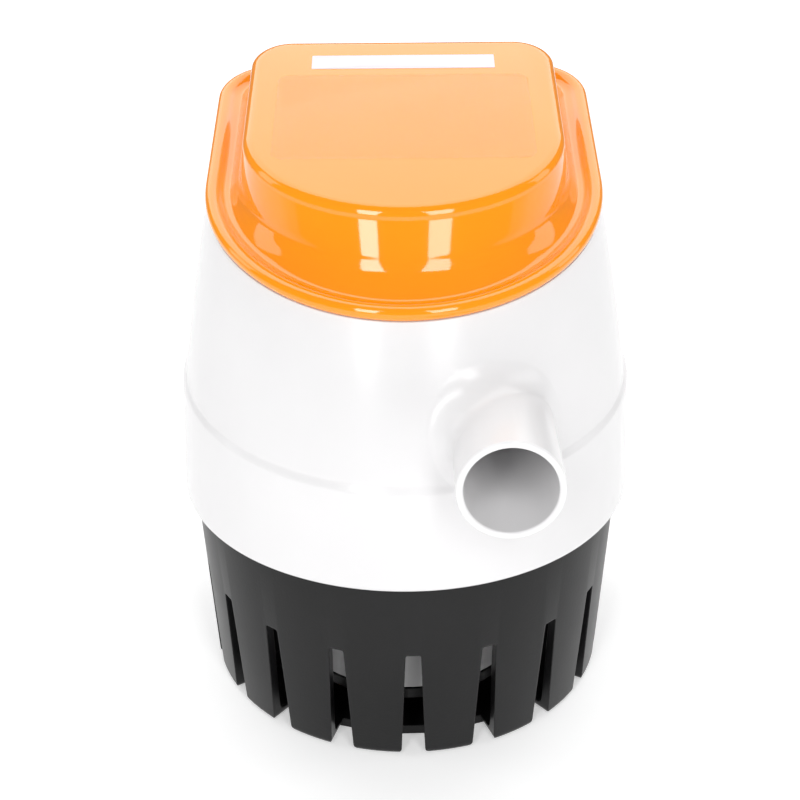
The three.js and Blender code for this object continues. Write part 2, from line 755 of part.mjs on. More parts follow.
function winding() {
  const middle = (coreHub + coreRadius - shoeThickness) / 2;
  const length = coreLength + 2 * windingOverhang;
  const holeLength = coreLength + 2 * gap;
  const outer = box(windingDepth, windingWidth, length, middle, pumpAxisY, coreMiddle);
  const hole = box(windingDepth + 2, toothWidth + 2 * gap, holeLength, middle, pumpAxisY, coreMiddle);
  return outer.subtract(hole);
}

function commutator() {
  const foot = coreTop + windingOverhang + 1.4;
  const top = foot + commutatorLength;
  let ring = tube(commutatorRadius, shaftRadius + gap, foot, top, 0, pumpAxisY, roundSteps);
  for (let i = 0; i < toothCount; i++) {
    const slitLength = commutatorLength + 2;
    const slit = box(2, commutatorSlit, slitLength, commutatorRadius, pumpAxisY, (foot + top) / 2);
    ring = ring.subtract(aroundAxis(slit, (2 * Math.PI * (i + 0.5)) / toothCount));
  }
  return ring;
}

addMesh(pump, "motor_can", motorCan(), "steel");
["left", "right"].forEach((side, index) => {
  const outer = canRadius - canWall - gap;
  const from = coreMiddle - magnetLength / 2;
  const magnet = arcPiece(outer - magnetThickness, outer, magnetSpan, from, from + magnetLength);
  addMesh(pump, `motor_magnet_${side}`, aroundAxis(magnet, index * Math.PI), "ferrite");
});
addMesh(pump, "armature_core", armatureCore(), "laminations");
for (let i = 0; i < toothCount; i++) {
  addMesh(pump, `winding_${i + 1}`, aroundAxis(winding(), (2 * Math.PI * i) / toothCount), "copper");
}
addMesh(pump, "commutator", commutator(), "copper");

const bellFoot = canTop + gap;
const bellTop = bellFoot + bellFlange;
const shaftTop = bellTop + 1.6;
addMesh(pump, "motor_shaft", post(shaftRadius, shaftFoot, shaftTop, 0, pumpAxisY, smallSteps), "steel");

function bearing(from) {
  return tube(bearingRadius, shaftRadius + gap, from, from + bearingLength, 0, pumpAxisY, smallSteps);
}

const lowerBearingFoot = canFoot - bearingPocket + gap;
const upperBearingFoot = bellTop - bearingLength + 1;
addMesh(pump, "lower_bearing", bearing(lowerBearingFoot), "bronze");
addMesh(pump, "upper_bearing", bearing(upperBearingFoot), "bronze");

const washerRadius = 3.4;
const washerThickness = 1;

function thrustWasher() {
  const foot = lowerBearingFoot + bearingLength + gap;
  const top = foot + washerThickness;
  return tube(washerRadius, shaftRadius + gap, foot, top, 0, pumpAxisY, smallSteps);
}

addMesh(pump, "thrust_washer", thrustWasher(), "whitePlastic");

const brushHeight = coreTop + windingOverhang + 1.4 + commutatorLength / 2;
const brushInner = commutatorRadius + gap;
const guideInner = brushInner + brushGuideGap;
const brushGuideLength = canRadius - canWall - gap - 0.4 - guideInner;

function brushGuide(side) {
  const outside = brushSize + 2 * gap + 2 * brushGuideWall;
  const middle = side * (guideInner + brushGuideLength / 2);
  const foot = brushHeight - outside / 2;
  const height = bellFoot - foot + 1;
  const block = box(brushGuideLength, outside, height, middle, pumpAxisY, foot + height / 2);
  const channelLength = brushGuideLength + brushGuideWall;
  const channelMiddle = side * (guideInner - 2 * brushGuideWall + channelLength / 2);
  const opening = brushSize + 2 * gap;
  const channel = box(channelLength, opening, opening, channelMiddle, pumpAxisY, brushHeight);
  return { block, channel };
}

function endBell() {
  let bell = post(canRadius, bellFoot, bellTop, 0, pumpAxisY);
  const spigotOutside = canRadius - canWall - gap;
  const spigotFoot = bellFoot - bellSpigot;
  bell = bell.add(tube(spigotOutside, spigotOutside - 1.6, spigotFoot, bellFoot + 1, 0, pumpAxisY));
  bell = bell.add(post(hubOutside, bellTop - 1, bellTop + 2, 0, pumpAxisY));
  for (const side of [-1, 1]) {
    const { block, channel } = brushGuide(side);
    bell = bell.add(block).subtract(channel);
  }
  bell = bell.subtract(post(bearingRadius + gap, bellFoot - 3, bellTop + 1 + gap, 0, pumpAxisY));
  for (const side of [-1, 1]) {
    const slotX = terminalWidth + 2 * gap;
    const slotY = terminalThickness + 2 * gap;
    bell = bell.subtract(box(slotX, slotY, 2 * terminalHeight, side * terminalX, terminalY, bellTop));
  }
  return bell.subtract(post(shaftRadius + gap, bellFoot, bellTop + overcut, 0, pumpAxisY, smallSteps));
}

addMesh(pump, "motor_end_bell", endBell(), "blackPlastic");

function brush(side) {
  const middle = side * (brushInner + brushLength / 2);
  return box(brushLength, brushSize, brushSize, middle, pumpAxisY, brushHeight);
}

function brushSpring(side) {
  const turns = 4;
  const stepsPerTurn = 9;
  const from = brushInner + brushLength + gap + 0.3;
  const to = guideInner + brushGuideLength - brushGuideWall - gap - 0.3;
  const points = [];
  for (let i = 0; i <= turns * stepsPerTurn; i++) {
    const angle = (2 * Math.PI * i) / stepsPerTurn;
    const x = side * THREE.MathUtils.lerp(from, to, i / (turns * stepsPerTurn));
    const y = pumpAxisY + springRadius * Math.cos(angle);
    const z = brushHeight + springRadius * Math.sin(angle);
    points.push(new THREE.Vector3(x, y, z));
  }
  return swept(points, springWire, 4, points.length - 1);
}

["left", "right"].forEach((name, index) => {
  const side = index === 0 ? -1 : 1;
  addMesh(pump, `brush_${name}`, brush(side), "carbon");
  addMesh(pump, `brush_spring_${name}`, brushSpring(side), "bronze");
  const middleZ = bellTop - 1 + terminalHeight / 2;
  const x = side * terminalX;
  const terminal = box(terminalWidth, terminalThickness, terminalHeight, x, terminalY, middleZ);
  addMesh(pump, `motor_terminal_${name}`, terminal, "brass");
});

// ---------------------------------------------------------------- float switch

function floatBlock() {
  const shape = new THREE.Shape();
  const halfX = floatSize.x / 2 - floatRounding;
  const halfZ = floatSize.z / 2 - floatRounding;
  shape.absarc(halfX, halfZ, floatRounding, 0, Math.PI / 2);
  shape.absarc(-halfX, halfZ, floatRounding, Math.PI / 2, Math.PI);
  shape.absarc(-halfX, -halfZ, floatRounding, Math.PI, 1.5 * Math.PI);
  shape.absarc(halfX, -halfZ, floatRounding, 1.5 * Math.PI, 2 * Math.PI);
  const depth = floatSize.y;
  const block = new THREE.ExtrudeGeometry(shape, { depth, curveSegments: 4, bevelEnabled: false });
  block.rotateX(Math.PI / 2).translate(0, floatFarY, floatFoot + floatSize.z / 2);
  return solid(block);
}

function floatArm() {
  const halfWidth = earHalfSpan - earThickness / 2 - 2 * gap;
  const hub = pinBar(earRadius, halfWidth).subtract(pinBar(pinRadius + gap, halfWidth + 1));
  const plateY = floatNearY - gap - armThickness / 2;
  const plate = box(armWidth, armThickness, armPlateHeight, 0, plateY, floatPivot.z);
  const linkFrom = floatPivot.y + 1.5;
  const linkLength = plateY - linkFrom + armThickness / 3;
  const linkZ = floatPivot.z + armLinkRise;
  const link = box(armWidth, linkLength, armLinkThickness, 0, linkFrom + linkLength / 2, linkZ);
  return hub.add(plate).add(link).subtract(pinBar(pinRadius + gap, halfWidth + 1));
}

addMesh(pump, "float", floatBlock(), "foam");
addMesh(pump, "float_arm", floatArm(), "whitePlastic");
addMesh(pump, "float_pin", pinBar(pinRadius, earHalfSpan + earThickness / 2 + 1.5), "steel");
const magnetZ = floatPivot.z + earRadius + gap + magnetSize.z / 2;
const floatMagnet = box(magnetSize.x, magnetSize.y, magnetSize.z, 0, floatPivot.y + 3, magnetZ);
addMesh(pump, "float_magnet", floatMagnet, "ferrite");

const boardY = wellY + 1.4;
const boardFoot = wellFoot + wellWall + gap;
const reedBoard = box(boardWidth, boardThickness, boardLength, 0, boardY, boardFoot + boardLength / 2);
addMesh(pump, "reed_board", reedBoard, "board");
const reedY = boardY - boardThickness / 2 - gap - reedRadius;
const reedFoot = boardFoot + 1;
const reedSwitch = post(reedRadius, reedFoot, reedFoot + reedLength, 0, reedY, smallSteps);
addMesh(pump, "reed_switch", reedSwitch, "glass");

// ---------------------------------------------------------------- cap and its seal

// The cap's outline at a height above its joint, from the rim up over the groove to the dome.
function capLevels() {
  const bead = capRimHeight;
  return [
    { plan: inset(capRim, 0.5), z: 0 },
    { plan: capRim, z: bead * 0.35 },
    { plan: inset(capRim, 0.4), z: bead * 0.75 },
    { plan: inset(capRim, 1.6), z: bead },
    { plan: inset(capRim, 3.4), z: bead * 0.95 },
    { plan: inset(capRim, 5.2), z: bead * 0.5 },
    { plan: inset(capRim, grooveInset), z: bead * 0.5 },
    { plan: inset(domeTop, -domeFootSpread), z: domeFootHeight },
    { plan: inset(domeTop, -domeFootSpread / 2), z: domeHeight / 2 },
    { plan: domeTop, z: domeHeight - domeEdge },
    { plan: inset(domeTop, domeEdge * 0.3), z: domeHeight - domeEdge * 0.3 },
    { plan: inset(domeTop, domeEdge), z: domeHeight },
  ];
}

function capInside() {
  const spigotInside = inset(capRim, topRimWidth + spigotWall);
  const ceiling = domeHeight - capWall;
  return loft([
    { plan: spigotInside, z: -spigotDepth - overcut },
    { plan: spigotInside, z: 0 },
    { plan: inset(domeTop, capWall - domeFootSpread), z: domeFootHeight - capWall },
    { plan: inset(domeTop, capWall), z: ceiling - domeEdge / 2 },
    { plan: inset(domeTop, capWall + domeEdge), z: ceiling },
  ]);
}

slanted.updateMatrix();
const intoCap = slanted.matrix.clone().invert();

// A solid given in the pump's frame, as the slanted cap sees it.
function inCap(body) {
  return solid(geometryOf(body).applyMatrix4(intoCap));
}

function capSpigot() {
  const outside = inset(bodyTop, topRimWidth + gap);
  return loft([
    { plan: outside, z: topHeight - spigotDepth, slant: topSlant },
    { plan: outside, z: topHeight + 1, slant: topSlant },
  ]);
}

function cap() {
  const collarEnd = bossEndY + 2 * gap + glandCollarThickness;
  const seat = bar(glandCollarRadius + gap, bossEndY, collarEnd, glandX, glandZ, smallSteps);
  const boss = bar(glandBossRadius, glandWallY, bossEndY, glandX, glandZ, smallSteps);
  const hole = bar(glandNeck + gap, glandWallY - overcut, bossEndY + overcut, glandX, glandZ, smallSteps);
  const notchRadius = glandBootRadius + 2 * gap;
  const notch = bar(notchRadius, bossEndY + gap, glandEndY + overcut, glandX, glandZ, smallSteps);
  let shell = loft(capLevels()).add(inCap(capSpigot())).subtract(capInside());
  shell = shell.add(inCap(boss));
  return shell.subtract(inCap(hole)).subtract(inCap(seat)).subtract(inCap(notch));
}

addMesh(slanted, "cap", cap(), "orangePlastic");

function capSeal() {
  const ring = (amount, foot, top) =>
    loft([
      { plan: inset(bodyTop, amount), z: foot, slant: topSlant },
      { plan: inset(bodyTop, amount), z: top, slant: topSlant },
    ]);
  const foot = topHeight - sealDepth;
  const top = topHeight - gap;
  const inner = sealInset + gap + sealWidth;
  return ring(sealInset + gap, foot, top).subtract(ring(inner, foot - 1, top + 1));
}

addMesh(pump, "cap_seal", capSeal(), "rubber");

// ---------------------------------------------------------------- leads and cable

function gland() {
  const collarEnd = bossEndY + gap + glandCollarThickness;
  const profile = [
    [0, glandFrom],
    [glandFlangeRadius, glandFrom],
    [glandFlangeRadius, glandWallY - gap],
    [glandNeck, glandWallY - gap],
    [glandNeck, bossEndY + gap],
    [glandCollarRadius, bossEndY + gap],
    [glandCollarRadius, collarEnd],
    [glandBootRadius, collarEnd],
    [glandEndRadius, glandEndY],
    [0, glandEndY],
  ];
  const lathe = new THREE.LatheGeometry(profile.map(([r, y]) => new THREE.Vector2(r, y)), 24);
  return solid(lathe.translate(glandX, 0, glandZ));
}

addMesh(pump, "cable_gland", gland(), "rubber");

const vectors = (points) => points.map(([x, y, z]) => new THREE.Vector3(x, y, z));

// From the gland over the cap's rim, down behind the body and along the floor to the coil.
const cableRoute = vectors([
  [glandX, glandEndY + gap, glandZ],
  [-19, 58, 159],
  [-19, 61.5, 157.9],
  [-19, 65.5, 155.4],
  [-19, 69, 151.6],
  [-19, 71.5, 146.5],
  [-19, 72.8, 140],
  [-19, 73.2, 128],
  [-19, 73.3, 105],
  [-19, 73.3, 80],
  [-19, 73.3, 55],
  [-19, 73.4, 34],
  [-19, 74.2, 23],
  [-19, 76.3, 15.6],
  [-19, 79.8, 9.4],
  [-19, 84.4, 5],
  [-19, 89.4, 3],
  [-19, 94, 2.7],
]);
addMesh(pump, "cable", swept(cableRoute, cableDiameter / 2, 8, 34), "cableJacket");

function coil() {
  const halfWidth = (coilRows * cableDiameter) / 2;
  const foot = floorClearance;
  const top = foot + coilLayers * cableDiameter;
  const profile = [
    [coilMiddleRadius - halfWidth, foot],
    [coilMiddleRadius + halfWidth, foot],
    [coilMiddleRadius + halfWidth, top],
    [coilMiddleRadius - halfWidth, top],
    [coilMiddleRadius - halfWidth, foot],
  ];
  const lathe = new THREE.LatheGeometry(profile.map(([r, z]) => new THREE.Vector2(r, z)), roundSteps);
  return solid(lathe.rotateX(Math.PI / 2).translate(coilCentre.x, coilCentre.y, 0));
}

addMesh(pump, "cable_coil", coil(), "cableJacket");

const tailRoute = vectors([
  [6, 150.8, 3.6],
  [13.5, 151.2, 2.8],
  [21, 151.4, 2.7],
  [28, 151.5, 2.7],
]);
addMesh(pump, "cable_tail", swept(tailRoute, cableDiameter / 2, 8, 6), "cableJacket");

const leadRoutes = {
  lead_black: [
    [28.4, 152.8, 2.2],
    [34, 153.8, 1.9],
    [44, 156.8, 1.3],
    [54, 158.6, 1.3],
    [62, 159.2, 1.3],
  ],
  lead_brown: [
    [28.4, 151.5, 3.9],
    [34, 151.6, 3.4],
    [44, 151.8, 1.5],
    [54, 152.2, 1.3],
    [63, 152.2, 1.3],
  ],
  lead_striped: [
    [28.4, 150.2, 2.2],
    [34, 149.3, 1.9],
    [44, 146.9, 1.3],
    [54, 145.4, 1.3],
    [61, 145, 1.3],
  ],
};
const leadMaterials = { lead_black: "blackWire", lead_brown: "brownWire", lead_striped: "whiteWire" };
for (const [name, route] of Object.entries(leadRoutes)) {
  addMesh(pump, name, swept(vectors(route), leadRadius, 8, 10), leadMaterials[name]);
}

const terminalTop = bellTop - 1 + terminalHeight;
const boardTop = boardFoot + boardLength;
const wireEndY = glandFrom - 3 * gap;

// A height as a share of the way from the deck's top up to the gland's axis.
function rise(share) {
  return THREE.MathUtils.lerp(deckHeight + deckThickness, glandZ, share);
}

const wireRoutes = {
  wire_positive: [
    [terminalX, terminalY, terminalTop + 2 * gap],
    [8, -5, rise(0.2)],
    [0, 8, rise(0.39)],
    [-8, 20, rise(0.62)],
    [-14, 26, rise(0.82)],
    [-16.6, wireEndY - 2, rise(0.97)],
    [glandX + 1.8, wireEndY, glandZ + 1.6],
  ],
  wire_negative: [
    [-terminalX, terminalY, terminalTop + 2 * gap],
    [-11, -3, rise(0.2)],
    [-16, 8, rise(0.39)],
    [-20, 18, rise(0.62)],
    [-21.8, 25, rise(0.84)],
    [-21.2, wireEndY - 2, rise(0.97)],
    [glandX - 1.8, wireEndY, glandZ + 1.6],
  ],
  wire_switch: [
    [0, boardY, boardTop + gap + wireRadius / 2],
    [-2, wellY + 2, rise(0.14)],
    [-8, wellY + 4, rise(0.39)],
    [-14, 29, rise(0.66)],
    [-18, 28.5, rise(0.82)],
    [glandX, 29.5, rise(0.93)],
    [glandX, wireEndY, glandZ - 2],
  ],
};
const wireMaterials = {
  wire_positive: "brownWire",
  wire_negative: "blackWire",
  wire_switch: "whiteWire",
};
for (const [name, route] of Object.entries(wireRoutes)) {
  addMesh(pump, name, swept(vectors(route), wireRadius, 8, 20), wireMaterials[name]);
}

export default pump;
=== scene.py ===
import json
import math

import bmesh
import bpy
from mathutils import Matrix, Vector
from mathutils.bvhtree import BVHTree


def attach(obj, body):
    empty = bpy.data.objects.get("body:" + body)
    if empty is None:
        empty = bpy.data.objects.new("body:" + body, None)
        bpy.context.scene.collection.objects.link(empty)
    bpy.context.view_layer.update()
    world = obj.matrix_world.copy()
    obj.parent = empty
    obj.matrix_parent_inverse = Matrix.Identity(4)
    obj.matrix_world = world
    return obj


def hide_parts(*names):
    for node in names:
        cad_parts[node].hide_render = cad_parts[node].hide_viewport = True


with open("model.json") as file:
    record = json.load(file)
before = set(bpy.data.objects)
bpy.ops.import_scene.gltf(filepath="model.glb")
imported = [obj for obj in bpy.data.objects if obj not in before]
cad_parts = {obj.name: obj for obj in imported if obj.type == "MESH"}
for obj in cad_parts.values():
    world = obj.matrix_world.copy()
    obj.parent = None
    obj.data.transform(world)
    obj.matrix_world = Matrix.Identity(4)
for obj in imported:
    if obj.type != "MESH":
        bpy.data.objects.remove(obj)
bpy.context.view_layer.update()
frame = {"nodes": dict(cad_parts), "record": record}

# ---------------------------------------------------------------- driving dimensions, in millimetres

MM = 0.001
GAP = 0.3
WALL = 2.6
OVERCUT = 5.0

STRAINER_FOOT = {"half_width": 55.8, "front": 58.4, "rear": 55.4, "corner": 28.0}
STRAINER_TOP = {"half_width": 59.0, "front": 63.0, "rear": 59.8, "corner": 30.2}
COLLAR_STEP = 0.6
SKIRT_HEM = {"half_width": 61.8, "front": 65.8, "rear": 62.6, "corner": 33.0}
SKIRT_SHOULDER = {"half_width": 60.4, "front": 63.4, "rear": 61.6, "corner": 32.0}
BODY_TOP = {"half_width": 51.0, "front": 51.6, "rear": 54.4, "corner": 16.0}
CAP_RIM = {"half_width": 51.4, "front": 54.36, "rear": 57.29, "corner": 16.0}
DOME_TOP = {"half_width": 40.8, "front": 36.86, "rear": 45.79, "corner": 11.0}

STRAINER_HEIGHT = 56.0
SPIGOT_HEIGHT = 6.5
FOOT_RADIUS = 2.0
SLOT_COUNT = 19
SLOT_PHASE = math.radians(1.3)
SLOT_TOP = 34.0
SLOT_FOOT_WIDTH = 6.2
SLOT_TOP_WIDTH = 4.0
SLOT_TOP_CORNER = 0.6
SLOT_REACH = 9.0
SLOT_FLARE = 2.2
PLATE_THICKNESS = 2.6
MOUNT_HOLE_RADIUS = 2.4
MOUNT_HOLE_REACH = 38.4
MOUNT_HOLE_ANGLES = [math.radians(degrees) for degrees in (90, 210, 330)]
MOUNT_PAD_HEIGHT = 1.4

HEM_RADIUS = 1.4
SHOULDER_HEIGHT = 91.0
SHOULDER_SLANT = math.radians(6)
SHOULDER_STEP = 1.1
SHOULDER_ROUNDING = 2.6
TOP_HEIGHT = 138.2
TOP_SLANT = math.radians(17)
TOP_RIM_WIDTH = 6.4
DECK_HEIGHT = 105.0
DECK_THICKNESS = 3.0
DECK_FILLET = 2.4
DRY_FILLET = 3.2

PUMP_AXIS_Y = -14.0
CHAMBER_RADIUS = 30.0
CHAMBER_WALL = 2.5
CHAMBER_FOOT = 13.0
HOUSING_RADIUS = CHAMBER_RADIUS + CHAMBER_WALL
HOUSING_EDGE = 0.4
BOSS_RADIUS = 3.6
BOSS_HEIGHT = 14.0
BOSS_ANGLES = [math.radians(degrees) for degrees in (90, 210, 330)]
SCREW_RADIUS = 1.4
SCREW_DEPTH = 8.0
POD_RADIUS = 21.2
POD_SCREW_CIRCLE = 24.8
NOZZLE_RADIUS = 12.7
NOZZLE_BORE = 10.9
NOZZLE_X = 23.5
NOZZLE_HEIGHT = 92.9
NOZZLE_MOUTH_Y = -80.3
DUCT_FROM = -60.0
NOZZLE_EDGE = 0.5
FLARE_TOWARDS = 130.0  # degrees round the nozzle, from the right side over the top
FLARE_SPREAD = 80.0
FLARE_LEAST = 1.2
FLARE_MOST = 7.5

FLOAT_PIVOT_Y = 25.0
FLOAT_PIVOT_Z = 36.0
PIN_RADIUS = 1.5
EAR_HALF_SPAN = 11.5
EAR_THICKNESS = 3.0
EAR_RADIUS = 4.0
EAR_ROOT_DEPTH = 7.0
WELL_Y = 26.0
WELL_SIZE = (13.0, 8.4)
WELL_WALL = 1.7
WELL_FOOT = 57.5

CAP_RIM_HEIGHT = 3.0
CAP_WALL = 2.2
DOME_HEIGHT = 17.0
GROOVE_INSET = 6.4
DOME_FOOT_HEIGHT = 4.8
DOME_FOOT_SPREAD = 1.4
DOME_EDGE = 2.4
DOME_EDGE_WIDTH = 3.1  # wider than high, so that the rounding stays under the top's plane
DOME_FRONT_LEAN = 2.6  # the front wall's foot stands out, and its top back, by this much
SPIGOT_WALL = 3.2
SPIGOT_DEPTH = 4.0
SEAL_WIDTH = 2.0
SEAL_DEPTH = 1.5
SEAL_INSET = 2.0

GLAND_X = -19.0
GLAND_Z = 159.2
GLAND_WALL_Y = 34.4
BOSS_END_Y = 46.6
GLAND_BOSS_RADIUS = 5.0
GLAND_NECK = 3.0
GLAND_COLLAR_RADIUS = 5.3
GLAND_COLLAR_THICKNESS = 2.0
GLAND_BOOT_RADIUS = 4.3
GLAND_END_Y = 55.6

CABLE_DIAMETER = 5.0
LEAD_DIAMETER = 2.0
COIL_CENTRE = (13.5, 113.0)
COIL_RADII = (32.5, 27.5, 22.5)
COIL_FLOOR = 2.7

# Steps of the fine outlines.
FRONT_STEPS = 120
SIDE_STEPS = 8
CORNER_STEPS = 16
REAR_STEPS = 8
CHAMBER_STEPS = 120


# ---------------------------------------------------------------- camera

def make_camera():
    data = bpy.data.cameras.new("camera")
    data.sensor_width = 36
    data.lens = 67.455
    data.clip_end = 50
    camera = bpy.data.objects.new("camera", data)
    bpy.context.scene.collection.objects.link(camera)
    camera.location = (-0.00147, -0.37386, 0.26115)
    pitch = Matrix.Rotation(math.radians(90 - 26.29), 4, "X")
    roll = Matrix.Rotation(math.radians(-0.49), 4, "Z")
    camera.rotation_euler = (pitch @ roll).to_euler()
    bpy.context.scene.camera = camera


make_camera()


# ---------------------------------------------------------------- materials

def new_material(name):
    material = bpy.data.materials.new(name)
    material.use_nodes = True
    tree = material.node_tree
    shader = tree.nodes["Principled BSDF"]
    return material, tree, shader


def noise(tree, scale, detail=3.0, stretch=None):
    """A noise texture in the object's own coordinates, in metres."""
    place = tree.nodes.new("ShaderNodeTexCoord")
    texture = tree.nodes.new("ShaderNodeTexNoise")
    texture.inputs["Scale"].default_value = scale
    texture.inputs["Detail"].default_value = detail
    if stretch is None:
        tree.links.new(place.outputs["Object"], texture.inputs["Vector"])
    else:
        mapping = tree.nodes.new("ShaderNodeMapping")
        mapping.inputs["Scale"].default_value = stretch
        tree.links.new(place.outputs["Object"], mapping.inputs["Vector"])
        tree.links.new(mapping.outputs["Vector"], texture.inputs["Vector"])
    return texture.outputs["Fac"]


def ranged(tree, value, low, high):
    """The value from 0..1 taken to low..high."""
    node = tree.nodes.new("ShaderNodeMapRange")
    node.inputs["From Min"].default_value = 0.3
    node.inputs["From Max"].default_value = 0.7
    node.inputs["To Min"].default_value = low
    node.inputs["To Max"].default_value = high
    tree.links.new(value, node.inputs["Value"])
    return node.outputs["Result"]


def two_tone(tree, value, first, second):
    node = tree.nodes.new("ShaderNodeMix")
    node.data_type = "RGBA"
    node.inputs["A"].default_value = (*first, 1)
    node.inputs["B"].default_value = (*second, 1)
    tree.links.new(ranged(tree, value, 0.0, 1.0), node.inputs["Factor"])
    return node.outputs["Result"]


def bump(tree, shader, height, distance, strength=1.0, edge=0.0):
    """Fine relief, over edges that are rounded by the given radius in metres."""
    node = tree.nodes.new("ShaderNodeBump")
    node.inputs["Strength"].default_value = strength
    node.inputs["Distance"].default_value = distance
    tree.links.new(height, node.inputs["Height"])
    if edge:
        rounding = tree.nodes.new("ShaderNodeBevel")
        rounding.samples = 4
        rounding.inputs["Radius"].default_value = edge
        tree.links.new(rounding.outputs["Normal"], node.inputs["Normal"])
    tree.links.new(node.outputs["Normal"], shader.inputs["Normal"])


def surface(name, first, second, rough, grain=900.0, relief=0.00002, metallic=0.0, coat=0.0, sheen=0.0,
            edge=0.0, stretch=None, cloud=35.0, specular=0.5):
    """A moulded, drawn or ground surface: two close tones, uneven gloss and a fine grain."""
    material, tree, shader = new_material(name)
    clouds = noise(tree, cloud, 4.0, stretch)
    fine = noise(tree, grain, 2.0, stretch)
    tree.links.new(two_tone(tree, clouds, first, second), shader.inputs["Base Color"])
    tree.links.new(ranged(tree, clouds, rough[0], rough[1]), shader.inputs["Roughness"])
    shader.inputs["Metallic"].default_value = metallic
    shader.inputs["Coat Weight"].default_value = coat
    shader.inputs["Coat Roughness"].default_value = 0.06
    shader.inputs["Sheen Weight"].default_value = sheen
    shader.inputs["Specular IOR Level"].default_value = specular
    bump(tree, shader, fine, relief, edge=edge)
    return material


def laminated_surface(name, first, second, pitch):
    """Thin plates stacked along Z."""
    material, tree, shader = new_material(name)
    place = tree.nodes.new("ShaderNodeTexCoord")
    wave = tree.nodes.new("ShaderNodeTexWave")
    wave.bands_direction = "Z"
    wave.inputs["Scale"].default_value = 0.314 / pitch
    wave.inputs["Distortion"].default_value = 0.2
    tree.links.new(place.outputs["Object"], wave.inputs["Vector"])
    tree.links.new(two_tone(tree, wave.outputs["Fac"], first, second), shader.inputs["Base Color"])
    shader.inputs["Metallic"].default_value = 1.0
    shader.inputs["Roughness"].default_value = 0.42
    bump(tree, shader, wave.outputs["Fac"], 0.0001)
    return material


def wound_surface(name, first, second, pitch):
    """Enamelled wire laid side by side, running round X."""
    material, tree, shader = new_material(name)
    place = tree.nodes.new("ShaderNodeTexCoord")
    wave = tree.nodes.new("ShaderNodeTexWave")
    wave.bands_direction = "X"
    wave.inputs["Scale"].default_value = 0.314 / pitch
    wave.inputs["Distortion"].default_value = 0.6
    tree.links.new(place.outputs["Object"], wave.inputs["Vector"])
    tree.links.new(two_tone(tree, wave.outputs["Fac"], first, second), shader.inputs["Base Color"])
    shader.inputs["Metallic"].default_value = 1.0
    shader.inputs["Roughness"].default_value = 0.28
    shader.inputs["Coat Weight"].default_value = 0.6
    bump(tree, shader, wave.outputs["Fac"], 0.0003)
    return material


def clear_surface(name, colour, roughness, alpha):
    material, tree, shader = new_material(name)
    fine = noise(tree, 300.0)
    shader.inputs["Base Color"].default_value = (*colour, 1)
    tree.links.new(ranged(tree, fine, roughness * 0.8, roughness * 1.2), shader.inputs["Roughness"])
    shader.inputs["Alpha"].default_value = alpha
    bump(tree, shader, fine, 0.00002)
    return material


def foam_surface(name, first, second):
    """Closed-cell foam: pale cells with darker walls."""
    material, tree, shader = new_material(name)
    place = tree.nodes.new("ShaderNodeTexCoord")
    cells = tree.nodes.new("ShaderNodeTexVoronoi")
    cells.inputs["Scale"].default_value = 900.0
    tree.links.new(place.outputs["Object"], cells.inputs["Vector"])
    tree.links.new(two_tone(tree, cells.outputs["Distance"], first, second), shader.inputs["Base Color"])
    shader.inputs["Roughness"].default_value = 0.85
    bump(tree, shader, cells.outputs["Distance"], 0.0003)
    return material


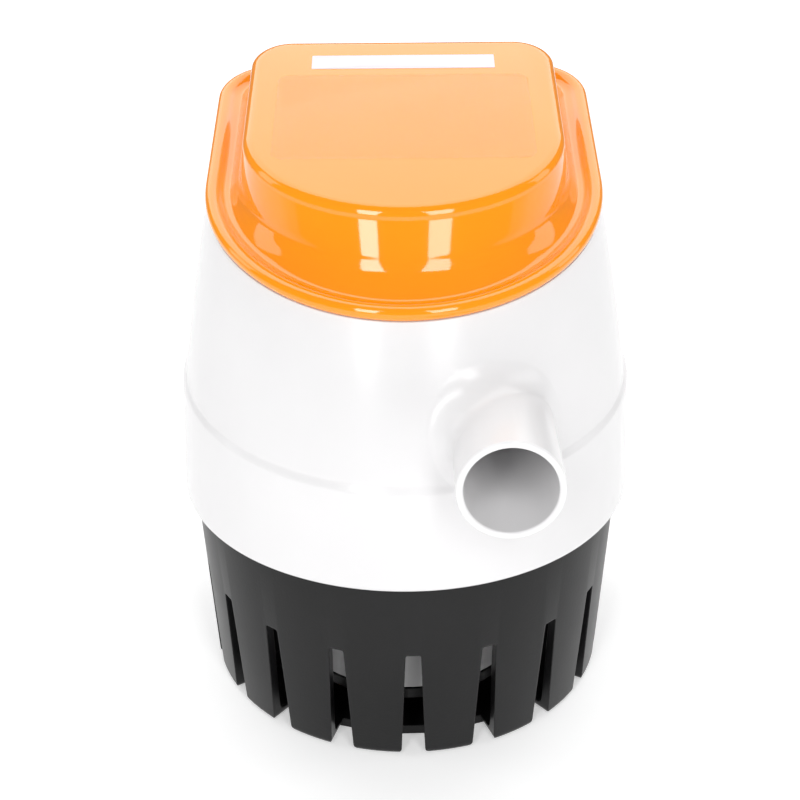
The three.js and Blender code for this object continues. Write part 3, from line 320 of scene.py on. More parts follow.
MATERIALS = {
    "black_plastic": surface("black_plastic", (0.005, 0.005, 0.0053), (0.007, 0.007, 0.0074), (0.3, 0.38),
                             grain=1600.0, relief=0.00003, edge=0.0006, specular=0.3),
    "white_plastic": surface("white_plastic", (0.79, 0.782, 0.788), (0.81, 0.803, 0.808), (0.2, 0.27),
                             grain=500.0, relief=0.000006, edge=0.0004),
    "orange_plastic": surface("orange_plastic", (1.0, 0.3, 0.0), (1.0, 0.32, 0.002), (0.04, 0.07),
                              grain=140.0, relief=0.00001, edge=0.0003, cloud=25.0, coat=0.5),
    "grey_plastic": surface("grey_plastic", (0.5, 0.51, 0.52), (0.56, 0.57, 0.58), (0.35, 0.45)),
    "blue_plastic": surface("blue_plastic", (0.03, 0.1, 0.3), (0.045, 0.13, 0.36), (0.35, 0.45)),
    "rubber": surface("rubber", (0.02, 0.017, 0.016), (0.03, 0.026, 0.024), (0.55, 0.7),
                      grain=2000.0, relief=0.00006),
    "cable_jacket": surface("cable_jacket", (0.022, 0.018, 0.017), (0.035, 0.029, 0.027), (0.42, 0.55),
                            grain=1500.0, relief=0.00005),
    "steel": surface("steel", (0.52, 0.53, 0.54), (0.64, 0.65, 0.66), (0.22, 0.34), metallic=1.0,
                     grain=1200.0, stretch=(1, 1, 0.15)),
    "laminations": laminated_surface("laminations", (0.2, 0.2, 0.21), (0.42, 0.43, 0.44), 0.0007),
    "copper": wound_surface("copper", (0.55, 0.2, 0.08), (0.86, 0.42, 0.2), 0.0006),
    "brass": surface("brass", (0.68, 0.48, 0.2), (0.78, 0.58, 0.28), (0.25, 0.4), metallic=1.0),
    "bronze": surface("bronze", (0.42, 0.28, 0.14), (0.54, 0.38, 0.2), (0.4, 0.55), metallic=1.0,
                      grain=2500.0, relief=0.00008),
    "carbon": surface("carbon", (0.03, 0.03, 0.03), (0.05, 0.05, 0.052), (0.5, 0.7), grain=2600.0),
    "ferrite": surface("ferrite", (0.05, 0.05, 0.055), (0.08, 0.08, 0.085), (0.5, 0.65), grain=2200.0),
    "glass": clear_surface("glass", (0.75, 0.88, 0.82), 0.06, 0.35),
    "board": surface("board", (0.02, 0.13, 0.05), (0.03, 0.19, 0.07), (0.3, 0.4), grain=700.0),
    "foam": foam_surface("foam", (0.84, 0.78, 0.6), (0.62, 0.56, 0.42)),
    "brown_wire": surface("brown_wire", (0.13, 0.05, 0.02), (0.18, 0.07, 0.03), (0.35, 0.5)),
    "white_wire": surface("white_wire", (0.7, 0.67, 0.6), (0.78, 0.75, 0.68), (0.35, 0.5)),
    "black_wire": surface("black_wire", (0.012, 0.012, 0.012), (0.02, 0.02, 0.02), (0.35, 0.5)),
}
LABEL_PAPER = surface("label_paper", (0.82, 0.8, 0.84), (0.87, 0.85, 0.88), (0.45, 0.6), grain=1800.0)
LABEL_FILM = clear_surface("label_film", (1.0, 0.6, 0.3), 0.1, 0.07)
STRANDS = surface("copper_strands", (0.62, 0.25, 0.1), (0.85, 0.42, 0.2), (0.25, 0.4), metallic=1.0,
                  grain=3000.0, relief=0.0001)


def paint(obj, material):
    obj.data.materials.clear()
    obj.data.materials.append(material)


for entry in frame["record"]["subparts"]:
    paint(frame["nodes"][entry["node"]], MATERIALS[entry["material_slot"]])


# ---------------------------------------------------------------- cable and leads

CABLE_DROP = [
    (-19, 55.9, 159.2), (-19, 58, 159), (-19, 61.5, 157.9), (-19, 65.5, 155.4), (-19, 69, 151.6),
    (-19, 71.5, 146.5), (-19, 72.8, 140), (-19, 73.2, 128), (-19, 73.3, 105), (-19, 73.3, 80),
    (-19, 73.3, 55), (-19, 73.4, 34), (-19, 74.2, 23), (-19, 76.3, 15.6), (-19, 79.8, 9.4),
    (-19, 84.4, 5), (-19, 89.4, 3), (-19, 94, 2.7), (-19, 101, 2.7),
]
CABLE_TAIL = [(13.5, 151.2, 2.8), (21, 151.4, 2.7), (28, 151.5, 2.7)]
LEADS = {
    "lead_black": ("black_wire", [
        (28.4, 152.8, 2.2), (34, 153.8, 1.9), (44, 156.8, 1.3), (54, 158.6, 1.3), (62, 159.2, 1.3),
    ]),
    "lead_brown": ("brown_wire", [
        (28.4, 151.5, 3.9), (34, 151.6, 3.4), (44, 151.8, 1.5), (54, 152.2, 1.3), (63, 152.2, 1.3),
    ]),
    "lead_striped": ("white_wire", [
        (28.4, 150.2, 2.2), (34, 149.3, 1.9), (44, 146.9, 1.3), (54, 145.4, 1.3), (61, 145, 1.3),
    ]),
}
STRIPPED_LENGTH = 7.0


def smooth_step(value):
    t = min(max(value, 0.0), 1.0)
    return t * t * (3 - 2 * t)


def coil_points():
    """Three turns on the floor, one inside the next, then a turn and a half back outwards on top of them."""
    steps_per_turn = 32
    rise_from, rise_to = 2.5, 2.78
    last = 4.2
    points = []
    for step in range(int(last * steps_per_turn) + 1):
        turns = step / steps_per_turn
        ring = min(int(turns), 2)
        radius = COIL_RADII[ring]
        if ring < 2:
            radius += (COIL_RADII[ring + 1] - radius) * smooth_step((turns - ring - 0.78) / 0.22)
        height = COIL_FLOOR + CABLE_DIAMETER * smooth_step((turns - rise_from) / (rise_to - rise_from))
        if turns > rise_to:
            outwards = (turns - rise_to) / (last - rise_to)
            edge = smooth_step((outwards - 0.84) / 0.16)
            radius = COIL_RADII[2] + (COIL_RADII[0] - COIL_RADII[2] + 1.2) * min(outwards / 0.86, 1.0)
            radius += 4.8 * math.sin(edge * math.pi / 2)
            height -= (CABLE_DIAMETER - 0.9) * (1 - math.cos(edge * math.pi / 2))
        angle = math.pi - 2 * math.pi * turns
        x = COIL_CENTRE[0] + radius * math.cos(angle)
        y = COIL_CENTRE[1] + radius * math.sin(angle)
        points.append((x, y, height))
    return points


def curve_piece(name, points, diameter, material, resolution=3):
    data = bpy.data.curves.new(name, "CURVE")
    data.dimensions = "3D"
    data.resolution_u = resolution
    data.bevel_depth = diameter / 2 * MM
    data.bevel_resolution = 4
    data.use_fill_caps = True
    spline = data.splines.new("BEZIER")
    spline.bezier_points.add(len(points) - 1)
    for knot, place in zip(spline.bezier_points, points):
        knot.co = Vector(place) * MM
        knot.handle_left_type = "AUTO"
        knot.handle_right_type = "AUTO"
    obj = bpy.data.objects.new(name, data)
    bpy.context.scene.collection.objects.link(obj)
    data.materials.append(material)
    return obj


def make_cable():
    route = CABLE_DROP + coil_points() + CABLE_TAIL
    cable = curve_piece("cable_jacket", route, CABLE_DIAMETER, MATERIALS["cable_jacket"])
    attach(cable, "pump")
    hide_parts("cable", "cable_coil", "cable_tail")
    pieces = []
    for name, (slot, points) in LEADS.items():
        start, end = Vector(points[-2]), Vector(points[-1])
        along = (end - start).normalized()
        covered = points[:-1] + [tuple(end - along * STRIPPED_LENGTH)]
        lead = curve_piece(name + "_insulation", covered, LEAD_DIAMETER, MATERIALS[slot])
        bare = [tuple(end - along * (STRIPPED_LENGTH + 1)), tuple(end)]
        strands = curve_piece(name + "_strands", bare, LEAD_DIAMETER * 0.6, STRANDS)
        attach(lead, "pump")
        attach(strands, "pump")
        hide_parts(name)
        pieces += [lead, strands]
    pieces.append(frame["nodes"]["cable_gland"])


make_cable()


# ---------------------------------------------------------------- mesh helpers

def plan_points(plan):
    """The outline's points, anticlockwise from the right side."""
    half_width, corner = plan["half_width"], plan["corner"]
    straight = plan["rear"] - corner
    points = [(half_width, straight * i / SIDE_STEPS) for i in range(SIDE_STEPS)]
    for i in range(CORNER_STEPS):
        angle = math.pi / 2 * i / CORNER_STEPS
        points.append((half_width - corner + corner * math.cos(angle), straight + corner * math.sin(angle)))
    flat = half_width - corner
    points += [(flat - 2 * flat * i / REAR_STEPS, plan["rear"]) for i in range(REAR_STEPS)]
    for i in range(CORNER_STEPS):
        angle = math.pi / 2 * (1 + i / CORNER_STEPS)
        points.append((corner - half_width + corner * math.cos(angle), straight + corner * math.sin(angle)))
    points += [(-half_width, straight * (1 - i / SIDE_STEPS)) for i in range(SIDE_STEPS)]
    for i in range(FRONT_STEPS):
        angle = math.pi * (1 + i / FRONT_STEPS)
        points.append((half_width * math.cos(angle), plan["front"] * math.sin(angle)))
    return points


def inset(plan, amount):
    made = {key: value - amount for key, value in plan.items()}
    made["corner"] = max(made["corner"], 1.0)
    return made


def mix(first, second, t):
    return {key: first[key] + (second[key] - first[key]) * t for key in first}


def mesh_object(name, points, faces):
    mesh = bpy.data.meshes.new(name)
    mesh.from_pydata([Vector(point) * MM for point in points], [], faces)
    mesh.update()
    obj = bpy.data.objects.new(name, mesh)
    bpy.context.scene.collection.objects.link(obj)
    return obj


def skin(name, rings):
    """A closed surface through rings of points, with a flat face at each end."""
    count = len(rings[0])
    points = [point for ring in rings for point in ring]
    faces = [tuple(reversed(range(count)))]
    for level in range(len(rings) - 1):
        low, high = level * count, (level + 1) * count
        for i in range(count):
            following = (i + 1) % count
            faces.append((low + i, low + following, high + following, high + i))
    faces.append(tuple(range(len(points) - count, len(points))))
    return mesh_object(name, points, faces)


def loft(name, levels):
    """levels are (plan, z, slant) from the bottom up."""
    rings = []
    for plan, z, slant in levels:
        rings.append([(x, y, z + math.tan(slant) * y) for x, y in plan_points(plan)])
    return skin(name, rings)


def turned(name, profile, steps=72, x=0.0, y=0.0):
    """A profile of (radius, z), bottom up, turned about a vertical axis."""
    rings = []
    for radius, z in profile:
        ring = []
        for i in range(steps):
            angle = 2 * math.pi * i / steps
            ring.append((x + radius * math.cos(angle), y + radius * math.sin(angle), z))
        rings.append(ring)
    return skin(name, rings)


def post(name, radius, low, high, x=0.0, y=0.0, steps=72):
    return turned(name, [(radius, low), (radius, high)], steps, x, y)


def turned_y(name, profile, x, z, steps=64):
    """A profile of (radius, y), rising in y, turned about a level axis along Y."""
    rings = []
    for radius, y in profile:
        ring = []
        for i in range(steps):
            angle = -2 * math.pi * i / steps
            ring.append((x + radius * math.cos(angle), y, z + radius * math.sin(angle)))
        rings.append(ring)
    return skin(name, rings)


def pin_bar(name, radius, half_length, steps=32):
    rings = []
    for x in (-half_length, half_length):
        ring = []
        for i in range(steps):
            angle = 2 * math.pi * i / steps
            y = FLOAT_PIVOT_Y + radius * math.cos(angle)
            z = FLOAT_PIVOT_Z + radius * math.sin(angle)
            ring.append((x, y, z))
        rings.append(ring)
    return skin(name, rings)


def block(name, low, high):
    (x0, y0, z0), (x1, y1, z1) = low, high
    return skin(name, [[(x0, y0, z), (x1, y0, z), (x1, y1, z), (x0, y1, z)] for z in (z0, z1)])


def combine(target, tool, operation):
    """Joins the tool to the target, or cuts it out, and removes the tool."""
    modifier = target.modifiers.new("combine", "BOOLEAN")
    modifier.operation = operation
    modifier.solver = "MANIFOLD"
    modifier.object = tool
    evaluated = target.evaluated_get(bpy.context.evaluated_depsgraph_get())
    mesh = bpy.data.meshes.new_from_object(evaluated)
    target.modifiers.clear()
    old = target.data
    target.data = mesh
    bpy.data.meshes.remove(old)
    remove(tool)
    return target


def remove(obj):
    mesh = obj.data
    bpy.data.objects.remove(obj)
    bpy.data.meshes.remove(mesh)


def add(target, *tools):
    for tool in tools:
        combine(target, tool, "UNION")
    return target


def cut(target, *tools):
    for tool in tools:
        combine(target, tool, "DIFFERENCE")
    return target


def finish_mesh(obj, material, sharp=35):
    """Smooth shading with hard edges kept, and one material."""
    mesh = obj.data
    mesh.shade_smooth()
    mesh.set_sharp_from_angle(angle=math.radians(sharp))
    paint(obj, material)


def on_circle(radius, angle):
    return radius * math.cos(angle), PUMP_AXIS_Y + radius * math.sin(angle)


def station(plan, angle):
    """Where a ray from the middle meets an outline, and the direction round it there."""
    ray = Vector((math.cos(angle), math.sin(angle)))
    points = [Vector(point) for point in plan_points(plan)]
    for first, second in zip(points, points[1:] + points[:1]):
        before, after = ray.cross(first), ray.cross(second)
        if before <= 0 < after and ray.dot(second) > 0:
            return first.lerp(second, before / (before - after)), Vector((-ray.y, ray.x))
    raise ValueError("the ray meets no outline")


# ---------------------------------------------------------------- strainer base

def strainer_levels(amount, floor=0.0):
    """The outside at amount 0, or the inside at the wall's thickness, above a floor."""
    levels = []
    for i in range(7):
        angle = math.pi / 2 * i / 6
        levels.append((inset(STRAINER_FOOT, amount + FOOT_RADIUS * (1 - math.sin(angle))),
                       floor + FOOT_RADIUS * (1 - math.cos(angle)), 0.0))
    collar = inset(STRAINER_TOP, COLLAR_STEP + amount)
    edge = 0.4
    levels.append((inset(STRAINER_TOP, amount), STRAINER_HEIGHT - edge, 0.0))
    levels.append((inset(STRAINER_TOP, amount + edge * 0.3), STRAINER_HEIGHT - edge * 0.3, 0.0))
    levels.append((collar, STRAINER_HEIGHT, 0.0))
    levels.append((collar, STRAINER_HEIGHT + SPIGOT_HEIGHT, 0.0))
    return levels


def slot_cutter(place, along):
    """A slot open at the bottom, with flared feet and a flat top with round corners."""
    half_foot, half_top = SLOT_FOOT_WIDTH / 2, SLOT_TOP_WIDTH / 2
    side = [(half_foot + SLOT_FLARE, -OVERCUT)]
    for i in range(7):
        angle = math.pi / 2 * i / 6
        side.append((half_foot + SLOT_FLARE * (1 - math.sin(angle)), SLOT_FLARE * (1 - math.cos(angle))))
    corner = SLOT_TOP_CORNER
    for i in range(5):
        angle = math.pi / 2 * i / 4
        side.append((half_top - corner * (1 - math.cos(angle)), SLOT_TOP - corner * (1 - math.sin(angle))))
    outline = side + [(-x, z) for x, z in reversed(side)]
    turn = math.atan2(along.y, along.x)
    rings = []
    for depth in (SLOT_REACH, -OVERCUT):
        ring = []
        for x, z in outline:
            ring.append((place.x + x * math.cos(turn) - depth * math.sin(turn),
                         place.y + x * math.sin(turn) + depth * math.cos(turn), z))
        rings.append(ring)
    return skin("slot", rings)


def make_strainer():
    base = loft("strainer_shell", strainer_levels(0.0))
    inside = strainer_levels(WALL, PLATE_THICKNESS)
    inside[-1] = (inside[-1][0], inside[-1][1] + OVERCUT, 0.0)
    cut(base, loft("inside", inside))
    for i in range(SLOT_COUNT):
        angle = SLOT_PHASE - math.pi / 2 + 2 * math.pi * i / SLOT_COUNT
        cut(base, slot_cutter(*station(STRAINER_FOOT, angle)))
    for angle in MOUNT_HOLE_ANGLES:
        x = MOUNT_HOLE_REACH * math.cos(angle)
        y = MOUNT_HOLE_REACH * math.sin(angle)
        pad_top = PLATE_THICKNESS + MOUNT_PAD_HEIGHT
        add(base, post("pad", MOUNT_HOLE_RADIUS + WALL, PLATE_THICKNESS / 2, pad_top, x, y, 40))
        cut(base, post("hole", MOUNT_HOLE_RADIUS, -OVERCUT, PLATE_THICKNESS + OVERCUT, x, y, 40))
    finish_mesh(base, MATERIALS["black_plastic"])
    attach(base, "base")
    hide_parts("strainer_base")


# ---------------------------------------------------------------- pump body

UPPER_SHOULDER = inset(SKIRT_SHOULDER, SHOULDER_STEP)


def body_levels():
    levels = []
    for i in range(7):
        angle = math.pi / 2 * i / 6
        levels.append((inset(SKIRT_HEM, HEM_RADIUS * (1 - math.sin(angle))),
                       STRAINER_HEIGHT + HEM_RADIUS * (1 - math.cos(angle)), 0.0))
    low, high = STRAINER_HEIGHT + HEM_RADIUS, SHOULDER_HEIGHT - SHOULDER_ROUNDING
    for i in range(1, 11):
        t = i / 10
        levels.append((mix(SKIRT_HEM, SKIRT_SHOULDER, t), low + (high - low) * t, SHOULDER_SLANT * t))
    for i in range(1, 11):
        t = i / 10
        levels.append((inset(SKIRT_SHOULDER, SHOULDER_STEP * smooth_step(t)), high + SHOULDER_ROUNDING * t,
                       SHOULDER_SLANT))
    top = TOP_HEIGHT - GAP / math.cos(TOP_SLANT)
    for i in range(1, 29):
        t = i / 28
        share = t * (0.8 + 0.2 * t)
        levels.append((mix(UPPER_SHOULDER, BODY_TOP, share), SHOULDER_HEIGHT + (top - SHOULDER_HEIGHT) * t,
                       SHOULDER_SLANT + (TOP_SLANT - SHOULDER_SLANT) * t))
    return levels


def body_plan_at(z):
    share = (z - SHOULDER_HEIGHT) / (TOP_HEIGHT - SHOULDER_HEIGHT)
    return mix(UPPER_SHOULDER, BODY_TOP, min(max(share, 0.0), 1.0))


def wet_space():
    return loft("wet_space", [
        (inset(SKIRT_HEM, WALL), STRAINER_HEIGHT - OVERCUT, 0.0),
        (inset(SKIRT_HEM, WALL), STRAINER_HEIGHT + HEM_RADIUS, 0.0),
        (inset(UPPER_SHOULDER, WALL), (DECK_HEIGHT + STRAINER_HEIGHT) / 2, 0.0),
        (inset(body_plan_at(DECK_HEIGHT), WALL + DECK_FILLET), DECK_HEIGHT, 0.0),
    ])


def dry_space():
    deck_top = DECK_HEIGHT + DECK_THICKNESS
    shelf = TOP_RIM_WIDTH / math.cos(TOP_SLANT)
    low = inset(body_plan_at(deck_top), WALL + DRY_FILLET)
    return loft("dry_space", [
        (low, deck_top, 0.0),
        (low, deck_top + 0.1, 0.0),
        (inset(BODY_TOP, WALL + 0.6), TOP_HEIGHT - 2 * shelf, TOP_SLANT),
        (inset(BODY_TOP, TOP_RIM_WIDTH), TOP_HEIGHT - shelf, TOP_SLANT),
        (inset(BODY_TOP, TOP_RIM_WIDTH), TOP_HEIGHT + OVERCUT, TOP_SLANT),
    ])


def seal_groove():
    floor = TOP_HEIGHT - SEAL_DEPTH - GAP
    outer = inset(BODY_TOP, SEAL_INSET)
    inner = inset(BODY_TOP, SEAL_INSET + SEAL_WIDTH + 2 * GAP)
    groove = loft("groove", [(outer, floor, TOP_SLANT), (outer, TOP_HEIGHT + OVERCUT, TOP_SLANT)])
    core = loft("core", [(inner, floor - 1, TOP_SLANT), (inner, TOP_HEIGHT + OVERCUT + 1, TOP_SLANT)])
    return cut(groove, core)


def flare_reach(angle):
    """How far the nozzle's root spreads over the body: widest above and to the left, tight on the right."""
    off = (math.degrees(angle) - FLARE_TOWARDS + 180) % 360 - 180
    return FLARE_LEAST + FLARE_MOST * math.exp(-(off / FLARE_SPREAD) ** 2)


def nozzle(shell):
    """The round nozzle, whose root runs into the body's own surface in a smooth curve."""
    tree = BVHTree.FromObject(shell, bpy.context.evaluated_depsgraph_get())

    def surface_y(angle, radius):
        x = NOZZLE_X + radius * math.cos(angle)
        z = NOZZLE_HEIGHT + radius * math.sin(angle)
        hit = tree.ray_cast(Vector((x, -150.0, z)) * MM, Vector((0, 1, 0)))[0]
        return hit.y / MM

    steps, curve_steps, sunk = 128, 16, 0.06
    columns = []
    for i in range(steps):
        angle = 2 * math.pi * i / steps
        reach = flare_reach(angle)
        outer = NOZZLE_RADIUS + reach
        end = Vector((outer, surface_y(angle, outer) + sunk))
        slope = surface_y(angle, outer + 0.5) - surface_y(angle, outer - 0.5)
        start = Vector((NOZZLE_RADIUS, surface_y(angle, NOZZLE_RADIUS) - reach))
        pull = 1.5 * reach
        column = [(outer, end.y + 2 * WALL)]
        for step in range(curve_steps + 1):
            t = 1 - step / curve_steps
            place = (start * (2 * t ** 3 - 3 * t * t + 1) + end * (3 * t * t - 2 * t ** 3)
                     + Vector((0, pull)) * (t ** 3 - 2 * t * t + t)
                     + Vector((1, slope)).normalized() * pull * (t ** 3 - t * t))
            column.append((place.x, place.y))
        for step in range(6):
            turn = math.pi / 2 * step / 5
            column.append((NOZZLE_RADIUS - NOZZLE_EDGE * (1 - math.cos(turn)),
                           NOZZLE_MOUTH_Y + NOZZLE_EDGE * (1 - math.sin(turn))))
        columns.append([(NOZZLE_X + radius * math.cos(angle), y, NOZZLE_HEIGHT + radius * math.sin(angle))
                        for radius, y in column])
    return skin("nozzle", list(zip(*columns)))


def nozzle_bore():
    mouth = NOZZLE_MOUTH_Y
    profile = [(NOZZLE_BORE + 0.5, mouth - OVERCUT), (NOZZLE_BORE + 0.5, mouth)]
    for i in range(1, 6):
        angle = math.pi / 2 * i / 5
        profile.append((NOZZLE_BORE + 0.5 * (1 - math.sin(angle)), mouth + 0.5 * (1 - math.cos(angle))))
    profile.append((NOZZLE_BORE, PUMP_AXIS_Y - 4))
    return turned_y("bore", profile, NOZZLE_X, NOZZLE_HEIGHT, 96)


def pivot_ear(side):
    root = PUMP_AXIS_Y + HOUSING_RADIUS - EAR_ROOT_DEPTH
    low_x = side * EAR_HALF_SPAN - EAR_THICKNESS / 2
    high_x = low_x + EAR_THICKNESS
    rings = []
    for x in (low_x, high_x):
        ring = [(x, root, FLOAT_PIVOT_Z - EAR_RADIUS)]
        for i in range(17):
            angle = -math.pi / 2 + math.pi * i / 16
            y = FLOAT_PIVOT_Y + EAR_RADIUS * math.cos(angle)
            z = FLOAT_PIVOT_Z + EAR_RADIUS * math.sin(angle)
            ring.append((x, y, z))
        ring.append((x, root, FLOAT_PIVOT_Z + EAR_RADIUS))
        rings.append(ring)
    return skin("ear", rings)


def reed_well(amount, foot, top):
    half_x, half_y = WELL_SIZE[0] / 2 - amount, WELL_SIZE[1] / 2 - amount
    return block("well", (-half_x, WELL_Y - half_y, foot), (half_x, WELL_Y + half_y, top))


def make_body():
    deck_top = DECK_HEIGHT + DECK_THICKNESS
    body = loft("body_shell", body_levels())
    add(body, nozzle(body))
    cut(body, wet_space(), dry_space(), seal_groove())
    duct = [(NOZZLE_RADIUS, DUCT_FROM), (NOZZLE_RADIUS, PUMP_AXIS_Y)]
    add(body, turned_y("duct", duct, NOZZLE_X, NOZZLE_HEIGHT))
    add(body, reed_well(0, WELL_FOOT, DECK_HEIGHT + 1))
    room = (CHAMBER_FOOT, DECK_HEIGHT)
    cut(body, post("housing_room", HOUSING_RADIUS + GAP, *room, 0, PUMP_AXIS_Y, CHAMBER_STEPS))
    cut(body, nozzle_bore())
    through = (DECK_HEIGHT - OVERCUT, deck_top + OVERCUT)
    cut(body, post("pod_hole", POD_RADIUS + GAP, *through, 0, PUMP_AXIS_Y, 96))
    cut(body, reed_well(WELL_WALL, WELL_FOOT + WELL_WALL, deck_top + OVERCUT))
    for angle in BOSS_ANGLES:
        x, y = on_circle(POD_SCREW_CIRCLE, angle + math.pi / 3)
        cut(body, post("pod_screw_hole", SCREW_RADIUS + GAP, *through, x, y, 24))
    finish_mesh(body, MATERIALS["white_plastic"], 28)
    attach(body, "pump")
    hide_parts("pump_body")


def make_housing():
    """The round chamber the impeller turns in, with its bosses and the float's ears."""
    edge = HOUSING_EDGE
    top = DECK_HEIGHT - GAP
    housing = turned("housing", [
        (HOUSING_RADIUS - edge, CHAMBER_FOOT), (HOUSING_RADIUS, CHAMBER_FOOT + edge),
        (HOUSING_RADIUS, top - edge), (HOUSING_RADIUS - edge, top),
    ], CHAMBER_STEPS, 0, PUMP_AXIS_Y)
    bosses = [on_circle(HOUSING_RADIUS + BOSS_RADIUS - 1, angle) for angle in BOSS_ANGLES]
    for x, y in bosses:
        add(housing, post("boss", BOSS_RADIUS, CHAMBER_FOOT, CHAMBER_FOOT + BOSS_HEIGHT, x, y, 40))
    add(housing, pivot_ear(-1), pivot_ear(1))
    hollow = (CHAMBER_FOOT - OVERCUT, DECK_HEIGHT + OVERCUT)
    cut(housing, post("hollow", CHAMBER_RADIUS, *hollow, 0, PUMP_AXIS_Y, CHAMBER_STEPS))
    cut(housing, nozzle_bore())
    cut(housing, pin_bar("pin_hole", PIN_RADIUS + GAP, EAR_HALF_SPAN + EAR_THICKNESS))
    screw_hole = (CHAMBER_FOOT - OVERCUT, CHAMBER_FOOT + SCREW_DEPTH)
    for x, y in bosses:
        cut(housing, post("screw_hole", SCREW_RADIUS + GAP, *screw_hole, x, y, 24))
    finish_mesh(housing, MATERIALS["white_plastic"], 28)
    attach(housing, "pump")
    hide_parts("impeller_housing")


# ---------------------------------------------------------------- cap

SLANTED = Matrix.Translation((0, 0, TOP_HEIGHT * MM)) @ Matrix.Rotation(TOP_SLANT, 4, "X")


def smooth_profile(knots, steps):
    """A smooth line through knots, as a Catmull-Rom spline with steps points a knot."""
    points = []
    ends = [knots[0]] + list(knots) + [knots[-1]]
    for i in range(1, len(ends) - 2):
        for step in range(steps):
            t = step / steps
            point = []
            for a, b, c, d in zip(*ends[i - 1:i + 3]):
                square = 2 * a - 5 * b + 4 * c - d
                cube = 3 * b - a - 3 * c + d
                point.append(0.5 * (2 * b + (c - a) * t + square * t * t + cube * t ** 3))
            points.append(tuple(point))
    points.append(tuple(knots[-1]))
    return points


LEANING_TOP = {**DOME_TOP, "front": DOME_TOP["front"] - DOME_FRONT_LEAN}


def cap_levels():
    bead = CAP_RIM_HEIGHT
    groove = inset(CAP_RIM, GROOVE_INSET)
    foot = inset(DOME_TOP, -DOME_FOOT_SPREAD)
    foot["front"] += DOME_FRONT_LEAN
    rim = [(0.5, 0.0), (0.05, bead * 0.3), (0.15, bead * 0.62), (0.8, bead * 0.9), (2.0, bead),
           (3.3, bead * 0.88), (4.4, bead * 0.62), (5.4, bead * 0.5), (GROOVE_INSET, bead * 0.5)]
    knots = [(inset(CAP_RIM, amount), z) for amount, z in rim]
    rise = DOME_FOOT_HEIGHT - bead * 0.5
    knots += [(mix(groove, foot, t), bead * 0.5 + rise * t ** 1.3) for t in (0.3, 0.6, 0.85)]
    wall_top = DOME_HEIGHT - DOME_EDGE
    wall_foot = DOME_FOOT_HEIGHT + 0.8
    for t in (0.0, 0.2, 0.5, 0.8, 1.0):
        z = wall_foot + (wall_top - wall_foot) * t
        knots.append((mix(foot, LEANING_TOP, 0.1 + 0.9 * t), z))
    keys = list(CAP_RIM)
    smooth = smooth_profile([(*(plan[key] for key in keys), z) for plan, z in knots], 4)
    levels = [(dict(zip(keys, values[:4])), values[4], 0.0) for values in smooth]
    for i in range(1, 9):
        angle = math.pi / 2 * i / 8
        levels.append((inset(LEANING_TOP, DOME_EDGE_WIDTH * (1 - math.cos(angle))),
                       wall_top + DOME_EDGE * math.sin(angle), 0.0))
    return levels


def cap_inside():
    spigot_inside = inset(CAP_RIM, TOP_RIM_WIDTH + SPIGOT_WALL)
    ceiling = DOME_HEIGHT - CAP_WALL
    return loft("cap_inside", [
        (spigot_inside, -SPIGOT_DEPTH - OVERCUT, 0.0),
        (spigot_inside, 0.0, 0.0),
        (inset(DOME_TOP, CAP_WALL - DOME_FOOT_SPREAD), DOME_FOOT_HEIGHT - CAP_WALL, 0.0),
        (inset(LEANING_TOP, CAP_WALL), ceiling - DOME_EDGE / 2, 0.0),
        (inset(LEANING_TOP, CAP_WALL + DOME_EDGE), ceiling, 0.0),
    ])


def in_place(obj):
    """Moves what was built level into the slanted joint."""
    obj.data.transform(SLANTED)
    return obj


def make_cap():
    cap = in_place(loft("cap_shell", cap_levels()))
    outside = inset(BODY_TOP, TOP_RIM_WIDTH + GAP)
    add(cap, loft("spigot", [
        (outside, TOP_HEIGHT - SPIGOT_DEPTH, TOP_SLANT),
        (outside, TOP_HEIGHT + 1, TOP_SLANT),
    ]))
    cut(cap, in_place(cap_inside()))
    collar_end = BOSS_END_Y + 2 * GAP + GLAND_COLLAR_THICKNESS
    for name, radius, low, high, join in (
        ("boss", GLAND_BOSS_RADIUS, GLAND_WALL_Y, BOSS_END_Y, True),
        ("hole", GLAND_NECK + GAP, GLAND_WALL_Y - OVERCUT, BOSS_END_Y + OVERCUT, False),
        ("seat", GLAND_COLLAR_RADIUS + GAP, BOSS_END_Y, collar_end, False),
        ("notch", GLAND_BOOT_RADIUS + 2 * GAP, BOSS_END_Y + GAP, GLAND_END_Y + OVERCUT, False),
    ):
        tool = turned_y(name, [(radius, low), (radius, high)], GLAND_X, GLAND_Z, 48)
        if join:
            add(cap, tool)
        else:
            cut(cap, tool)
    finish_mesh(cap, MATERIALS["orange_plastic"], 40)
    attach(cap, "pump")
    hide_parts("cap")


def flat_label(name, low, high, corner, thickness, lift, material):
    """A thin sheet with round corners on the dome's flat top."""
    (x0, y0), (x1, y1) = low, high
    outline = []
    for x, y, start in ((x1, y0, -90), (x1, y1, 0), (x0, y1, 90), (x0, y0, 180)):
        centre_x = x - corner if x == x1 else x + corner
        centre_y = y - corner if y == y1 else y + corner
        for i in range(7):
            angle = math.radians(start + 90 * i / 6)
            outline.append((centre_x + corner * math.cos(angle), centre_y + corner * math.sin(angle)))
    foot = DOME_HEIGHT + lift
    edge = thickness * 0.4
    rings = [[(x, y, foot) for x, y in outline], [(x, y, foot + thickness - edge) for x, y in outline]]
    middle_x, middle_y = (x0 + x1) / 2, (y0 + y1) / 2
    shrink = 1 - 2 * edge / min(x1 - x0, y1 - y0)
    rings.append([(middle_x + (x - middle_x) * shrink, middle_y + (y - middle_y) * shrink, foot + thickness)
                  for x, y in outline])
    label = in_place(skin(name, rings))
    finish_mesh(label, material)
    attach(label, "pump")


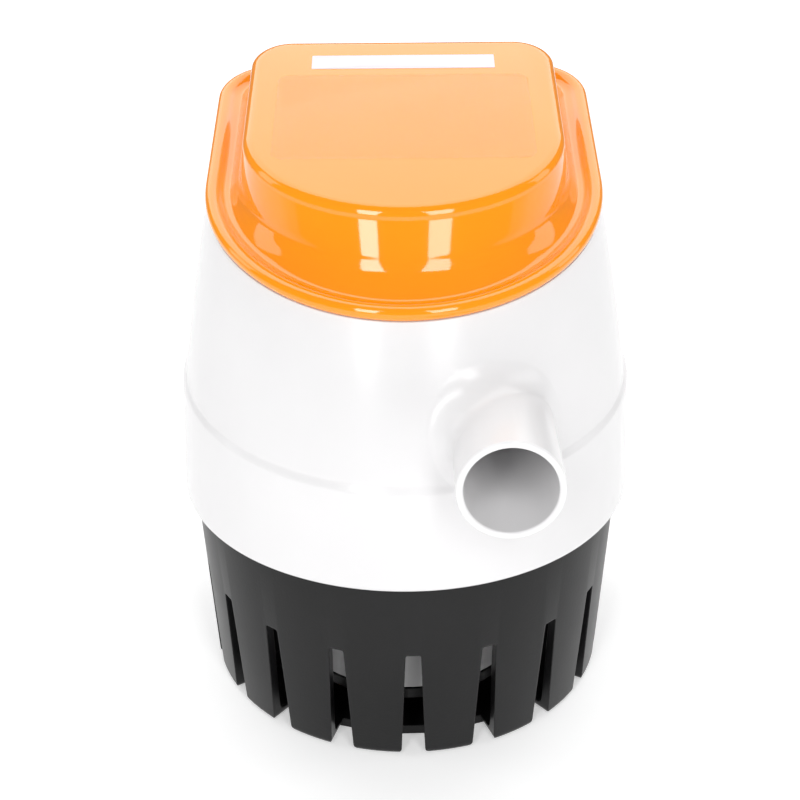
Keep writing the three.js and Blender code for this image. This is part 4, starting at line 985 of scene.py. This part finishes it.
def make_labels():
    flat_label("label_film", (-33, -12), (33, 27), 3.0, 0.06, 0.02, LABEL_FILM)
    flat_label("label_sticker", (-24.3, 30.3), (24.6, 37), 0.3, 0.08, 0.02, LABEL_PAPER)


# ---------------------------------------------------------------- stage and lights

def make_floor():
    size, z = 6.0, -0.0002
    corners = [(-size, -size, z), (size, -size, z), (size, size, z), (-size, size, z)]
    mesh = bpy.data.meshes.new("floor")
    mesh.from_pydata(corners, [], [(0, 1, 2, 3)])
    floor = bpy.data.objects.new("floor", mesh)
    bpy.context.scene.collection.objects.link(floor)
    material, tree, shader = new_material("floor")
    shader.inputs["Base Color"].default_value = (0.8, 0.8, 0.8, 1)
    shader.inputs["Roughness"].default_value = 0.9
    shader.inputs["Specular IOR Level"].default_value = 0.0
    shader.inputs["Emission Color"].default_value = (1, 1, 1, 1)
    shader.inputs["Emission Strength"].default_value = 0.4
    paint(floor, material)


def area_light(name, place, target, size, power, colour=(1, 1, 1)):
    data = bpy.data.lights.new(name, "AREA")
    data.shape = "RECTANGLE"
    data.size, data.size_y = size
    data.energy = power
    data.color = colour
    light = bpy.data.objects.new(name, data)
    bpy.context.scene.collection.objects.link(light)
    light.location = place
    light.rotation_euler = (Vector(target) - Vector(place)).to_track_quat("-Z", "Y").to_euler()
    return light


def make_lights():
    middle = (0, 0, 0.09)
    area_light("window_left", (-0.42, -1.2, 0.8), middle, (0.26, 1.1), 7)
    area_light("window_right", (0.42, -1.2, 0.8), middle, (0.32, 1.1), 7)
    area_light("overhead", (0, 0.9, 1.5), middle, (2.6, 1.6), 27)
    area_light("side_left", (-1.6, 0.1, 0.9), middle, (0.5, 1.2), 3)
    area_light("side_right", (1.6, 0.1, 0.9), middle, (0.5, 1.2), 3)
    world = bpy.data.worlds.new("studio")
    bpy.context.scene.world = world
    world.use_nodes = True
    background = world.node_tree.nodes["Background"]
    background.inputs["Color"].default_value = (0.96, 0.965, 0.97, 1)
    background.inputs["Strength"].default_value = 0.25
    bpy.context.scene.view_settings.view_transform = "Standard"


make_strainer()
make_body()
make_housing()
make_cap()
make_labels()
make_floor()
make_lights()
